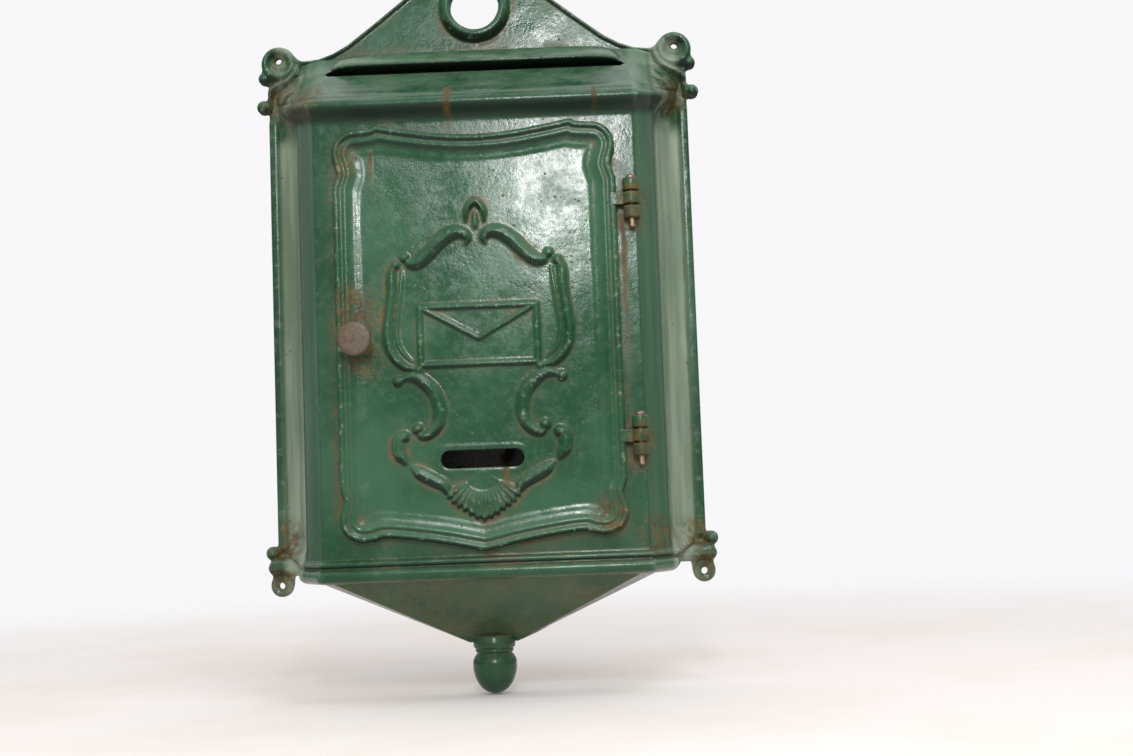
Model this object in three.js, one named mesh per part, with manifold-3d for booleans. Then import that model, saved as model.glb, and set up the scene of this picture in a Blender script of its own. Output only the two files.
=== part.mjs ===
// Wall mailbox of painted cast iron, weathered and rusty.
// Millimetres: +X to the viewer's right, +Z up, the door faces -Y and the wall plane is Y = 0.
// Z = 0 lies midway between the upper and the lower fixing holes.
import * as THREE from 'three';
import Module from 'manifold-3d';

const wasm = await Module();
wasm.setup();
const { Manifold, CrossSection } = wasm;

// Driving dimensions
const clearance = 0.3;            // gap left between pieces that touch
const ironWall = 3;               // thickness of the casting's walls
const facetTolerance = 0.05;

const rimX = 113.4;               // half width of the wall plate along the straight sides
const plateY = 3.4;               // thickness of the wall plate
const rimY = 5;                   // depth of the raised rim round the plate
const crestRimWidth = 1.8;
const cornerFillet = 4;           // soft inside corners of the plate's outline

const coveX = 107.5;              // where each side cove starts beside the rim
const coveY = -3.7;
const arrisX = 92.6;              // sharp edge between cove and bevel
const arrisY = -37;
const frontX = 81.2;              // half width of the flat front
const frontY = -56;
const coveSteps = 6;
const sideRimWidth = rimX - coveX;
const sideRimZ = [-126, 109];     // lower and upper end of the raised side rims
const crestRimFoot = 134;

const eyeZ = 166.5;               // hanging eye in the crest
const eyeHoleR = 13.2;
const eyeRingR = 19.4;
const eyeRingY = 9;
const crestR = 28.6;

const upperHole = [107.8, 141];   // fixing holes, right-hand side
const lowerHole = [111.9, -142.8];
const holeR = 1.8;
const earR = 9.4;
const earCentre = [107.4, 138.9];
const lugR = 5.9;

const upperKnobs = [[115.6, 131.4, 3.2], [116.2, 115.6, 3.7]];  // x, z and radius
const lowerKnobs = [[116.2, -125.6, 3.7], [115.6, -133.4, 3.3]];

const slitZ = [125, 129.3];      // letter slit under the hood
const slitX = 80;
const hoodX = 74;

const openingX = 66;              // door opening in the front
const openingZ = [-112, 77];
const openingR = 7;

const doorBackY = frontY - clearance;
const doorY = doorBackY - 3;      // front face of the door's field
const borderWidth = 5.2;
const borderHeight = 2.7;
const doorSideX = 71.5;
const viewSlot = { z: -81.2, length: 41.5, height: 9 };

const hingeX = 79;
const hingeR = 4.2;
const hingeY = frontY - hingeR - 0.6;
const pinR = 1.4;
const knuckleHeight = 6.2;
const knuckleGap = 0.8;
const hingeZ = [46.7, -72.6];     // middle of each hinge

const knobX = -60.5;
const knobZ = -20.3;
const knobR = 8.6;
const knobFaceY = -75.5;
const knobSeatHeight = 1.2;
const shankR = 2.9;
const tongueReach = 14.5;
const tongueGap = 1.2;            // between the frame's wall and the tongue behind it

const panelThickness = 2;
const panelX = 107.8;
const screwSpots = [[92.5, 100], [-92.5, 100], [92.5, -112], [-92.5, -112]];
const screwR = 1.7;
const screwLength = 10;

const dropR = 11.5;               // egg-shaped drop under the hopper
const dropY = -12.2;
const dropZ = -186.5;
const dropHeight = 15.2;          // from its widest ring down to its tip

// General helpers
const mirrored = (points) => points.map(([x, z]) => [-x, z]);
const mix = (a, b, t) => a + (b - a) * t;

/** Closed outline from its right half, which runs from the top centre to the bottom centre. */
function symmetric(half) {
  const left = mirrored(half).reverse().filter(([x]) => Math.abs(x) > 1e-6);
  return [...half, ...left];
}

function region(outline) {
  return new CrossSection([outline], 'EvenOdd');
}

/** Pushes a region drawn in X and Z from yBack forward to yFront. */
function slab(area, yBack, yFront) {
  return area.extrude(yBack - yFront).rotate([90, 0, 0]).translate([0, yBack, 0]);
}

function circle(x, z, r, steps = 32) {
  return CrossSection.circle(r, steps).translate([x, z]);
}

function rectangle(x0, x1, z0, z1, radius = 0) {
  const box = region([[x0, z0], [x1, z0], [x1, z1], [x0, z1]]);
  if (!radius) {
    return box;
  }
  return box.offset(-radius, 'Miter').offset(radius, 'Round', 2, 24);
}

function block(x0, x1, y0, y1, z0, z1) {
  return Manifold.cube([x1 - x0, y1 - y0, z1 - z0]).translate([x0, y0, z0]);
}

/** Turned solid whose axis points at the viewer; the profile lists [radius, distance in front of the wall]. */
function turnedY(profile, x, z, steps = 32) {
  return Manifold.revolve(region(profile), steps).rotate([90, 0, 0]).translate([x, 0, z]);
}

/** Turned solid about an upright axis; the profile lists [radius, height]. */
function turnedZ(profile, x, y, steps = 32) {
  return Manifold.revolve(region(profile), steps).translate([x, y, 0]);
}

function rodY(x, z, r, yBack, yFront, steps = 28) {
  return turnedY([[0, -yBack], [r, -yBack], [r, -yFront], [0, -yFront]], x, z, steps);
}

function rodZ(x, y, r, zLow, zHigh, steps = 28) {
  return turnedZ([[0, zLow], [r, zLow], [r, zHigh], [0, zHigh]], x, y, steps);
}

function fromTriangles(points, triangles) {
  const mesh = new wasm.Mesh({
    numProp: 3,
    vertProperties: new Float32Array(points.flat()),
    triVerts: new Uint32Array(triangles.flat()),
  });
  const solid = new Manifold(mesh);
  return solid.volume() < 0 ? fromTriangles(points, triangles.map(([a, b, c]) => [a, c, b])) : solid;
}

/** Skin over rings of points with the same count; flat caps close both ends. */
function loft(rings, flat = ([x, y]) => new THREE.Vector2(x, y)) {
  const count = rings[0].length;
  const triangles = [];
  for (let r = 0; r + 1 < rings.length; r++) {
    for (let i = 0; i < count; i++) {
      const j = (i + 1) % count;
      const low = r * count;
      const high = low + count;
      triangles.push([low + i, low + j, high + j], [low + i, high + j, high + i]);
    }
  }
  const cap = (ring, start, along) => {
    const points = ring.map(flat);
    const faces = THREE.ShapeUtils.triangulateShape(points, []);
    const covered = faces.reduce((sum, face) => sum + THREE.ShapeUtils.area(face.map((k) => points[k])), 0);
    const keep = covered * THREE.ShapeUtils.area(points) > 0 === along;
    for (const [a, b, c] of faces) {
      triangles.push(keep ? [start + a, start + b, start + c] : [start + a, start + c, start + b]);
    }
  };
  const last = rings.length - 1;
  cap(rings[0], 0, false);
  cap(rings[last], last * count, true);
  return fromTriangles(rings.flat(), triangles);
}

const union = (...solids) => Manifold.union(solids.flat());

/** Straight bar along X whose end shape is given in Y and Z. */
function alongX(shape, x0, x1) {
  return loft([x0, x1].map((x) => shape.map(([y, z]) => [x, y, z])), ([, y, z]) => new THREE.Vector2(y, z));
}

// Plan of the housing at one height
/** fill 0 leaves the cove hollow, 0.5 makes it straight and 1 makes it full; rise lifts the wall side. */
function plan(z, shape) {
  const right = [[shape.rimX, 0]];
  for (let i = coveSteps; i >= 0; i--) {
    const t = (Math.PI / 2) * (i / coveSteps);
    const width = shape.rimX - shape.arrisX;
    const depth = shape.footY - shape.arrisY;
    const hollow = [shape.rimX - width * Math.cos(t), shape.arrisY + depth * Math.sin(t)];
    const full = [shape.arrisX + width * Math.sin(t), shape.footY - depth * Math.cos(t)];
    right.push([mix(hollow[0], full[0], shape.fill), mix(hollow[1], full[1], shape.fill)]);
  }
  right.push([shape.frontX, shape.frontY]);
  const ring = [...right, ...mirrored(right).reverse()];
  return ring.map(([x, y]) => [x, y, z + (shape.rise * (y - shape.frontY)) / -frontY]);
}

/** Body level: swell pushes the mouldings outward, inset draws the inside of the walls. */
function bodyLevel([z, swell, fill, rise = 0, rim = coveX], inset = 0) {
  return plan(z, {
    rimX: rim - inset * 1.2,
    footY: coveY,
    arrisX: arrisX + swell * 0.9 - inset * 1.1,
    arrisY: arrisY - swell * 0.35 + inset * 0.4,
    frontX: frontX + swell * 0.6 - inset * 0.7,
    frontY: frontY - swell + inset,
    fill,
    rise,
  });
}

function roofLevel([z, rim, ax, ay, fx, fy, fill, rise], inset = 0) {
  return plan(z, {
    rimX: rim - inset * 1.2,
    footY: coveY,
    arrisX: ax - inset * 1.1,
    arrisY: ay + inset * 0.8,
    frontX: fx - inset * 0.5,
    frontY: fy + inset * 1.2,
    fill,
    rise,
  });
}

// height, swell of the moulding, fill of the cove, rise toward the wall, rim
const lowerLevels = [
  [-141, -0.5, 0.6, 0, 95],
  [-140.4, 1.6, 0.6, 0, 96],
  [-138.6, 3.9, 0.6, 0, 97.6],
  [-136.6, 4.4, 0.6, 0, 98],
  [-134.8, 3.6, 0.6, 0, 98],
  [-133.7, 1.5, 0.6, 0, 98],
  [-133, 1.4, 0.6, 0, 98.6],
  [-132.4, 2.8, 0.6, 0, 100],
  [-131, 3.2, 0.6, 0, 102],
  [-130, 2.2, 0.6, 0, 104],
  [-129.4, 0.2, 0.6, 0, 105.5],
  [-128, 0, 0.52],
  [-126, 0, 0.4],
  [-123.5, 0, 0.22],
  [-121, 0, 0.08],
  [-118, 0, 0],
];
const upperLevels = [
  [90, 0, 0, 4],
  [92, 0, 0.05, 8],
  [94.4, 0, 0.2, 11],
  [96.2, 0.4, 0.36, 12],
  [96.8, 3.2, 0.45, 12],
  [98.2, 5.2, 0.5, 12],
  [100.2, 6, 0.52, 12],
  [102.2, 5.3, 0.54, 12],
  [103.4, 3.6, 0.54, 12],
  [103.8, 2, 0.54, 12],
];
// height, rim, arris x and y, front x and y, fill, rise
const roofLevels = [
  [107, 109, 95, -33.5, 81.6, -53.5, 0.54, 12],
  [112, 109, 95, -27.5, 81.2, -44.5, 0.52, 11],
  [118, 107.6, 93.6, -20.5, 80.4, -35.2, 0.5, 9],
  [125.1, 104, 91, -13.5, 79, -25.6, 0.5, 7],
  [133, 98.5, 87, -8.5, 76, -14, 0.5, 4],
  [140, 93, 84, -5, 70, -6, 0.5, 0],
];

// Wall plate
function crestOutline() {
  const half = [];
  const slope = Math.atan2(0.79, 1);
  for (let i = 0; i <= 8; i++) {
    const a = Math.PI / 2 - (i / 8) * slope;
    half.push([crestR * Math.cos(a), eyeZ + crestR * Math.sin(a)]);
  }
  half.push([39.6, 171.8], [56.6, 158.4], [70, 148.2], [78, 143.8], [86, 141], [93, 140.3]);
  return half;
}

/** Right half of the plate outline, from the crest down to the bottom of the hopper. */
function plateHalf() {
  return [
    ...crestOutline(), [98, 139.5], [rimX, 133], [rimX, -128], [rimX + 3.6, -130], [rimX + 3.6, -141],
    [106.4, -142], [105, -137.8], [99, -137.8], [84.5, -141.5], [62.4, -152.2], [39, -163.4], [23, -171.6],
    [14, -175.4], [0, -176.6],
  ];
}

const plateOutline = symmetric(plateHalf());

function plateWithEars() {
  let area = region(plateOutline);
  for (const side of [-1, 1]) {
    area = area
      .add(circle(side * earCentre[0], earCentre[1], earR))
      .add(circle(side * lowerHole[0], lowerHole[1], lugR, 28));
    for (const [x, z, r] of [...upperKnobs, ...lowerKnobs]) {
      area = area.add(circle(side * x, z, r, 16));
    }
  }
  return area.offset(cornerFillet, 'Round', 2, 28).offset(-cornerFillet, 'Round', 2, 28);
}

function raisedRim(area, width, zLow, zHigh) {
  const ring = area.subtract(area.offset(-width, 'Miter'));
  return slab(ring.intersect(rectangle(-200, 200, zLow, zHigh)), -plateY + 0.5, -rimY);
}

function wallPlate() {
  const area = plateWithEars();
  return union(
    slab(area, 0, -plateY),
    raisedRim(area, crestRimWidth, crestRimFoot, eyeZ + crestR + 1),
    raisedRim(area, sideRimWidth, ...sideRimZ),
  );
}

function eyeRing() {
  const profile = [[eyeHoleR - 2, 0]];
  const middle = (eyeRingR + eyeHoleR - 2) / 2;
  const half = (eyeRingR - eyeHoleR + 2) / 2;
  for (let i = 0; i <= 8; i++) {
    const a = Math.PI * (1 - i / 8);
    profile.push([middle + half * Math.cos(a), 1 + (eyeRingY - 1) * Math.sin(a)]);
  }
  profile.push([eyeRingR, 0]);
  return turnedY(profile, 0, eyeZ, 36);
}

// Ears
/** Raised ribbon with a rounded back, laid on a plane; points are [x, z, half width]. */
function ribbon(points, baseY, height, steps) {
  const path = new THREE.CatmullRomCurve3(points.map(([x, z, w]) => new THREE.Vector3(x, z, w)));
  const across = [[-1, -0.3], [-1, 0.1], [-0.66, 0.78], [0, 1], [0.66, 0.78], [1, 0.1], [1, -0.3]];
  const rings = [];
  for (let i = 0; i <= steps; i++) {
    const p = path.getPoint(i / steps);
    const ahead = path.getPoint(Math.min(1, i / steps + 0.01));
    const behind = path.getPoint(Math.max(0, i / steps - 0.01));
    const length = Math.hypot(ahead.x - behind.x, ahead.y - behind.y);
    const normal = [-(ahead.y - behind.y) / length, (ahead.x - behind.x) / length];
    const taper = Math.min(1, Math.sqrt(Math.sin(Math.PI * mix(0.03, 0.97, i / steps))) * 1.25);
    rings.push(across.map(([s, h]) => [
      p.x + normal[0] * p.z * s * taper,
      baseY - height * (h < 0 ? h : h * taper),
      p.y + normal[1] * p.z * s * taper,
    ]));
  }
  const start = rings[0][0];
  const end = rings[0][across.length - 1];
  const direction = [end[0] - start[0], end[2] - start[2]];
  const size = Math.hypot(...direction);
  const flat = ([x, y, z]) => new THREE.Vector2(
    ((x - start[0]) * direction[0] + (z - start[2]) * direction[1]) / size,
    y,
  );
  return loft(rings, flat);
}

function dome(x, z, r, baseY, height, steps = 14) {
  const profile = [[0, -baseY - 1]];
  for (let i = 0; i <= 4; i++) {
    const a = (Math.PI / 2) * (i / 4);
    profile.push([r * Math.cos(a), -baseY + height * Math.sin(a)]);
  }
  profile.splice(1, 0, [r, -baseY - 1]);
  return turnedY(profile, x, z, steps);
}

function upperEar(side) {
  const centre = [side * earCentre[0], earCentre[1]];
  const rim = [[0, 1], [earR, 1], [earR, 5.2], [8.6, 7], [7.3, 7.6], [6, 7], [5.1, 5.6], [0, 5.6]];
  return [
    turnedY(rim, ...centre, 28),
    ribbon([
      [side * 97.6, 138, 1.6], [side * 99.6, 132.2, 2.3], [side * 104.6, 128.8, 2.5],
      [side * 110, 126.4, 2.5], [side * 112.6, 121.4, 2.4], [side * 112, 113.5, 1.8],
    ], -plateY, 4.4, 12),
    ...upperKnobs.map(([x, z, r]) => dome(side * x, z, r, -plateY, r + 0.2)),
  ];
}

function lowerEar(side) {
  const bar = rectangle(88, 116.4, -135.8, -129, 1.2);
  const barArea = side > 0 ? bar : bar.mirror([1, 0]);
  return [
    slab(barArea, 0, -8.6),
    slab(barArea.offset(-1.2, 'Miter'), -5, -10),
    turnedY([[0, 0], [lugR, 0], [lugR, 4.2], [lugR - 1.1, 5.6], [0, 5.6]], side * lowerHole[0], lowerHole[1], 28),
    ...lowerKnobs.map(([x, z, r]) => dome(side * x, z, r, -plateY, r + 1.4)),
  ];
}

function fixingHole([x, z], faceY) {
  const lip = 3.5;
  const profile = [[0, -1], [holeR, -1], [holeR, faceY - 2], [lip, faceY], [lip, faceY + 8], [0, faceY + 8]];
  return turnedY(profile, x, z, 18);
}

// Hood, hopper and drop
function hood() {
  const profile = [
    [-1, 147], [-5, 146.2], [-12, 143.4], [-19, 139], [-25, 134], [-27.2, 131.6], [-27.4, 130], [-26, 129.3],
    [-20, 129.3], [-1, 129.3],
  ];
  const ends = [[-hoodX - 4.6, 0.62], [-hoodX - 2.6, 0.84], [-hoodX, 0.96], [-hoodX + 4, 1]];
  const stations = [...ends, ...ends.map(([x, k]) => [-x, k]).reverse()];
  const rings = stations.map(([x, k]) => profile.map(([y, z]) => [x, y * k, 129.3 + (z - 129.3) * k]));
  return loft(rings, ([, y, z]) => new THREE.Vector2(y, z));
}

/** Right-hand corners of the hopper, outside and inside. */
const hopperOutside = [
  [78.5, frontY + 1.2, -140], [88, arrisY + 1, -140], [86, -0.5, -140], [84.5, -0.5, -141.4],
  [13.5, -0.5, -175.2], [12.5, -13.5, -175.2],
];
const hopperInside = [
  [75, frontY + 5, -127], [84, arrisY + 4, -127], [82, 1, -127], [79.5, 1, -134.4], [75, frontY + 5, -135],
  [10.6, 1, -168.2], [9.6, -10.4, -170.4],
];

function hopper(corners) {
  return Manifold.hull(corners.flatMap(([x, y, z]) => [[x, y, z], [-x, y, z]]));
}

function drop() {
  const egg = [];
  for (let i = 0; i <= 6; i++) {
    const a = (Math.PI / 2) * (i / 6);
    egg.push([dropR * Math.cos(a), dropZ - dropHeight * Math.sin(a)]);
  }
  const neck = [[0, 14.5], [0.85, 14.5], [0.95, 10.9], [0.95, 9.1], [0.84, 8.1], [0.9, 6.1], [0.975, 3.1]];
  return turnedZ([...neck.map(([k, rise]) => [k * dropR, dropZ + rise]), ...egg], 0, dropY, 24);
}

// Housing
function outerBody() {
  const walls = [...lowerLevels, ...upperLevels].map((row) => bodyLevel(row));
  return loft([...walls, ...roofLevels.map((row) => roofLevel(row))]);
}

function cavity() {
  const inside = (row) => bodyLevel(row, ironWall);
  const levels = [
    inside([-127.6, 0, 0.5]), inside([-122, 0, 0.2]), inside([-116, 0, 0]),
    inside([86, 0, 0, 4]), inside([92, 0, 0.2, 10]), inside([97, 0, 0.5, 12]),
    ...roofLevels.slice(0, 2).map((row) => roofLevel([row[0] - 3, ...row.slice(1)], ironWall)),
  ];
  const main = loft(levels.map((ring) => ring.map(([x, y, z]) => [x, y === 0 ? 1 : y, z])));
  const throat = [[-plateY - 0.6, 100], [-plateY - 0.6, 132.4], [-11, 132.4], [-21.6, 124.4], [-32, 113], [-40, 100]];
  return union(main, alongX(throat, -77, 77), hopper(hopperInside));
}

function doorOpening() {
  return slab(rectangle(-openingX, openingX, ...openingZ, openingR), frontY + 16, frontY - 4);
}

function letterSlit() {
  const middle = (slitZ[0] + slitZ[1]) / 2;
  const half = slitX - 2.5;
  const outline = [
    [-slitX, middle], [-half, slitZ[0]], [half, slitZ[0]], [slitX, middle], [half, slitZ[1]], [-half, slitZ[1]],
  ];
  return slab(region(outline), -12, -50);
}

function knuckle(zLow, zHigh) {
  return union(
    rodZ(hingeX, hingeY, hingeR, zLow, zHigh, 20),
    block(hingeX - hingeR + 0.6, hingeX + hingeR, hingeY, frontY + 2, zLow, zHigh),
    block(hingeX, hingeX + hingeR + 1.6, frontY - 1.6, frontY + 4, zLow + 0.4, zHigh - 0.4),
  );
}

/** Heights of the two frame knuckles of one hinge; the door's knuckle sits between them. */
function frameKnuckleHeights(middle) {
  const inner = knuckleHeight / 2 + knuckleGap;
  return [[middle - inner - knuckleHeight, middle - inner], [middle + inner, middle + inner + knuckleHeight]];
}

/** Outline of the back panel; a positive gap makes the rebate that it lies in. */
function panelOutline(gap) {
  return region(symmetric([
    [0, 116.2], [panelX, 116.2], [panelX, -134.6], [84, -136.8], [12.5, -170.4], [0, -170.4],
  ])).offset(gap, 'Miter');
}

/** Boss for a back screw, with a web out to the cove. */
function screwBoss([x, z]) {
  const outward = Math.sign(x) * 6;
  return Manifold.hull([
    ...rodPoints(x, z, 4.6, -2.4, -screwLength - 3.4),
    ...rodPoints(x + outward, z, 2.4, -2.4, -4.4),
  ]);
}

function rodPoints(x, z, r, yBack, yFront, steps = 12) {
  const points = [];
  for (let i = 0; i < steps; i++) {
    const a = (2 * Math.PI * i) / steps;
    const [px, pz] = [x + r * Math.cos(a), z + r * Math.sin(a)];
    points.push([px, yBack, pz], [px, yFront, pz]);
  }
  return points;
}

function housing() {
  const body = outerBody();
  const solid = union(
    body,
    wallPlate(),
    eyeRing(),
    hood(),
    hopper(hopperOutside),
    drop(),
    ...[-1, 1].flatMap((side) => [...upperEar(side), ...lowerEar(side)]),
  );
  const shell = solid.subtract(cavity());
  const bosses = union(...screwSpots.map(screwBoss)).intersect(body);
  const withBosses = union(shell, bosses);
  const rebate = slab(panelOutline(clearance), 1, -panelThickness - clearance);
  const cuts = union(
    rebate,
    doorOpening(),
    letterSlit(),
    rodY(0, eyeZ, eyeHoleR, 2, -20, 36),
    ...[-1, 1].flatMap((side) => [
      fixingHole([side * upperHole[0], upperHole[1]], 5.6),
      fixingHole([side * lowerHole[0], lowerHole[1]], 5.6),
    ]),
    ...screwSpots.map(([x, z]) => rodY(x, z, screwR + clearance, 0, -screwLength - 1, 14)),
  );
  const cast = withBosses.subtract(cuts);
  const knuckles = hingeZ.flatMap(frameKnuckleHeights).map((span) => knuckle(...span));
  const bores = hingeZ.map((z) => rodZ(hingeX, hingeY, pinR + clearance, z - 20, z + 20, 12));
  return union(cast, ...knuckles).subtract(union(...bores));
}

// Door
/** Right half of the door's outline, from the top centre to the bottom centre. */
function doorHalf() {
  const half = [[0, 82.8], [12, 83.3], [24, 84.6], [34, 86.3], [43, 87.9], [49.6, 89.2], [52, 87.6]];
  const lobe = (cx, cz, from, to, steps) => {
    for (let i = 0; i <= steps; i++) {
      const a = ((from + ((to - from) * i) / steps) * Math.PI) / 180;
      half.push([cx + 12 * Math.cos(a), cz + 12 * Math.sin(a)]);
    }
  };
  lobe(59.6, 75, 92, -14, 9);
  half.push([69.8, 67.6], [69.2, 65], [70.2, 61.6], [doorSideX, 58], [doorSideX, 40], [doorSideX, 15]);
  half.push([doorSideX, -15], [doorSideX, -45], [doorSideX, -75], [doorSideX, -93], [70.2, -97], [69.2, -99.6]);
  half.push([70.2, -102.8]);
  lobe(59.8, -109, 14, -94, 9);
  half.push([54.5, -120.4], [50.5, -119.1], [46, -119.2], [36, -120.4], [26, -121.9], [16, -123.7], [7, -125.7]);
  half.push([0, -127.2]);
  return half;
}

const doorOutline = symmetric(doorHalf());

/** Rolled bead that follows the door's edge; each point moves inward along the mean normal of its two sides. */
function doorBorder() {
  const across = [
    [0, -0.5], [0, 0.9], [0.1, 0.72 * borderHeight], [0.3, borderHeight], [0.52, borderHeight * 0.94],
    [0.76, borderHeight * 0.6], [0.92, borderHeight * 0.22], [1, -0.5],
  ];
  const count = doorOutline.length;
  const rings = doorOutline.map(([x, z], i) => {
    const before = doorOutline[(i + count - 1) % count];
    const after = doorOutline[(i + 1) % count];
    const first = [x - before[0], z - before[1]];
    const second = [after[0] - x, after[1] - z];
    const unit = ([a, b]) => [a / Math.hypot(a, b), b / Math.hypot(a, b)];
    const [a, b] = [unit(first), unit(second)];
    const normal = unit([a[1] + b[1], -(a[0] + b[0])]);
    const miter = Math.min(1.4, 1 / Math.max(0.4, normal[0] * a[1] - normal[1] * a[0]));
    return across.map(([s, h]) => [
      x + normal[0] * miter * s * borderWidth,
      doorY - h,
      z + normal[1] * miter * s * borderWidth,
    ]);
  });
  const width = across.length;
  const points = rings.flat();
  const triangles = [];
  for (let i = 0; i < count; i++) {
    const here = i * width;
    const next = ((i + 1) % count) * width;
    for (let j = 0; j < width; j++) {
      const k = (j + 1) % width;
      triangles.push([here + j, here + k, next + k], [here + j, next + k, next + j]);
    }
  }
  return fromTriangles(points, triangles);
}

const topScroll = [
  [4.8, 26.8, 1.9], [4, 30, 2.3], [7.4, 32.8, 2.8], [12.6, 32.2, 3.3], [18.2, 28.4, 3.4], [23.6, 22.8, 3.3],
  [28.8, 18.2, 3.1], [33.4, 17.6, 2.8], [36, 21.2, 2.1],
];
const sideRib = [
  [40.6, 17.6, 2.2], [42.6, 13, 2.5], [43, 3, 2.4], [44.6, -9, 2.4], [45.6, -18.6, 2.4], [43.4, -27.6, 2.3],
  [37.6, -34, 2.1], [31, -35.6, 2],
];
const sideRibInner = [
  [37.4, 14, 0.9], [38.6, 4, 1], [40.4, -9, 1], [41.2, -18, 1], [39, -26, 1], [33.6, -31.6, 0.9],
];
const sideScroll = [
  [41.4, -41, 2.4], [33, -39.4, 3], [25.8, -44.2, 3.3], [21.2, -52, 3.4], [20.8, -60.4, 3.2], [24, -66.4, 2.7],
  [29.4, -69.2, 2.3], [32.6, -66.4, 1.9],
];
const footLobe = [[37.2, -67.6, 3], [40.2, -71.8, 3.8], [40.2, -76.6, 3.7], [36.8, -82, 2.8]];
const footRibbon = [[35.4, -84.4, 2.2], [30.6, -87.8, 3], [24.4, -91.2, 3], [19.4, -94.2, 2.7], [16.4, -99.4, 2.1]];
const bud = [[-4.6, 38, 1.2], [-4, 44, 1.5], [0, 48.4, 1.7], [4, 44, 1.5], [4.6, 38, 1.2]];
const reliefHeight = 2.4;

function bothSides(points, height, steps) {
  const left = points.map(([x, z, w]) => [-x, z, w]);
  return [ribbon(points, doorY, height, steps), ribbon(left, doorY, height, steps)];
}

/** Fan of ribs below the viewing slot. */
function shell() {
  const ribs = [];
  const count = 11;
  const centre = [0, -86.5];
  for (let i = 0; i < count; i++) {
    const a = ((i / (count - 1)) * 2 - 1) * 1.02;
    const reach = 22.4 - 1.6 * Math.abs(Math.sin(a * 1.4));
    const at = (r, w) => [centre[0] + r * Math.sin(a), centre[1] - r * Math.cos(a), w];
    ribs.push(ribbon([at(7.5, 0.6), at(12, 0.95), at(17, 1.4), at(reach, 1.6)], doorY, 2, 4));
  }
  return ribs;
}

/** Plain envelope in relief, in the middle of the cartouche. */
function envelope() {
  const [x, low, high] = [31, -35.5, -3];
  const fold = [0, -21];
  const bar = (from, to, width) => {
    const along = [to[0] - from[0], to[1] - from[1]];
    const length = Math.hypot(...along);
    const n = [(-along[1] / length) * width, (along[0] / length) * width];
    return slab(region([
      [from[0] - n[0], from[1] - n[1]], [to[0] - n[0], to[1] - n[1]],
      [to[0] + n[0], to[1] + n[1]], [from[0] + n[0], from[1] + n[1]],
    ]), doorY + 0.5, doorY - 1.7);
  };
  const outer = rectangle(-x, x, low, high, 1.6);
  return [
    slab(outer, doorY + 0.5, doorY - 0.8),
    slab(outer.subtract(outer.offset(-1.8, 'Round', 2, 16)), doorY + 0.5, doorY - 1.7),
    bar([-x + 1.2, high - 1.2], fold, 0.9),
    bar([x - 1.2, high - 1.2], fold, 0.9),
  ];
}

/** Low round seat that the knob's hub turns on. */
function knobSeat() {
  const foot = -doorY;
  const top = foot + knobSeatHeight;
  return turnedY([[0, foot - 1], [5.4, foot - 1], [5.4, top - 0.5], [4.7, top], [0, top]], knobX, knobZ, 28);
}

function door() {
  const plate = slab(region(doorOutline), doorBackY, doorY);
  const arms = hingeZ.map((z) => union(
    rodZ(hingeX, hingeY, hingeR, z - knuckleHeight / 2, z + knuckleHeight / 2, 20),
    block(doorSideX - 3.4, hingeX, hingeY - 1.6, hingeY + hingeR - 0.2, z - knuckleHeight / 2, z + knuckleHeight / 2),
  ));
  const relief = [
    ...bothSides(topScroll, reliefHeight, 18),
    ...bothSides(sideRib, reliefHeight, 14),
    ...bothSides(sideRibInner, 1.4, 8),
    ...bothSides(sideScroll, reliefHeight, 16),
    ...bothSides(footLobe, 3, 8),
    ...bothSides(footRibbon, reliefHeight, 9),
    ribbon(bud, doorY, reliefHeight, 12),
    ribbon([[0, 42.6, 0.9], [0, 38, 1.3], [0, 34.6, 0.8]], doorY, 1.8, 6),
    ...[-1, 1].flatMap((side) => [
      dome(side * 30.4, -36, 2.4, doorY, 2.6, 12),
      dome(side * 31.8, -65.4, 2.6, doorY, 3, 12),
      dome(side * 39.4, 20.4, 2.3, doorY, 2.4, 12),
    ]),
    ...shell(),
    ...envelope(),
    knobSeat(),
  ];
  const slot = rectangle(
    -viewSlot.length / 2, viewSlot.length / 2,
    viewSlot.z - viewSlot.height / 2, viewSlot.z + viewSlot.height / 2,
    viewSlot.height / 2 - 0.05,
  );
  const cuts = union(
    slab(slot, doorBackY + 3, doorY - 6),
    rodY(knobX, knobZ, shankR + clearance, doorBackY + 3, doorY - 6),
    ...hingeZ.map((z) => rodZ(hingeX, hingeY, pinR + clearance, z - 10, z + 10, 12)),
  );
  return union(plate, doorBorder(), ...arms, ...relief).subtract(cuts);
}

// Small hardware
function hingePin(middle) {
  const top = frameKnuckleHeights(middle)[1][1];
  const bottom = frameKnuckleHeights(middle)[0][0];
  return turnedZ([
    [0, bottom - 4.4], [pinR - 0.5, bottom - 4.4], [pinR, bottom - 3.8], [pinR, top + clearance],
    [2.5, top + clearance], [2.5, top + 1.1], [1.7, top + 1.8], [0, top + 2],
  ], hingeX, hingeY, 20);
}

const spacerBack = frontY + ironWall + tongueGap - clearance;
const tongueBack = spacerBack + clearance + 2;
const nutBack = tongueBack + clearance + 3.4;

function knob() {
  const hubFoot = -doorY + knobSeatHeight + clearance;
  const face = -knobFaceY;
  return turnedY([
    [0, -nutBack - 1], [shankR - 0.5, -nutBack - 1], [shankR, -nutBack - 0.4], [shankR, hubFoot], [4.6, hubFoot],
    [4.2, hubFoot + 2.4], [4, face - 5.6], [5.6, face - 4], [knobR - 0.7, face - 3.4], [knobR, face - 2.6],
    [knobR, face - 1], [knobR - 0.8, face - 0.2], [knobR - 2, face], [0, face],
  ], knobX, knobZ, 40);
}

function latchSpacer() {
  const inner = shankR + clearance;
  const [near, far] = [-spacerBack, -doorBackY - clearance];
  return turnedY([[inner, near], [5, near], [5, far], [inner, far]], knobX, knobZ, 28);
}

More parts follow.
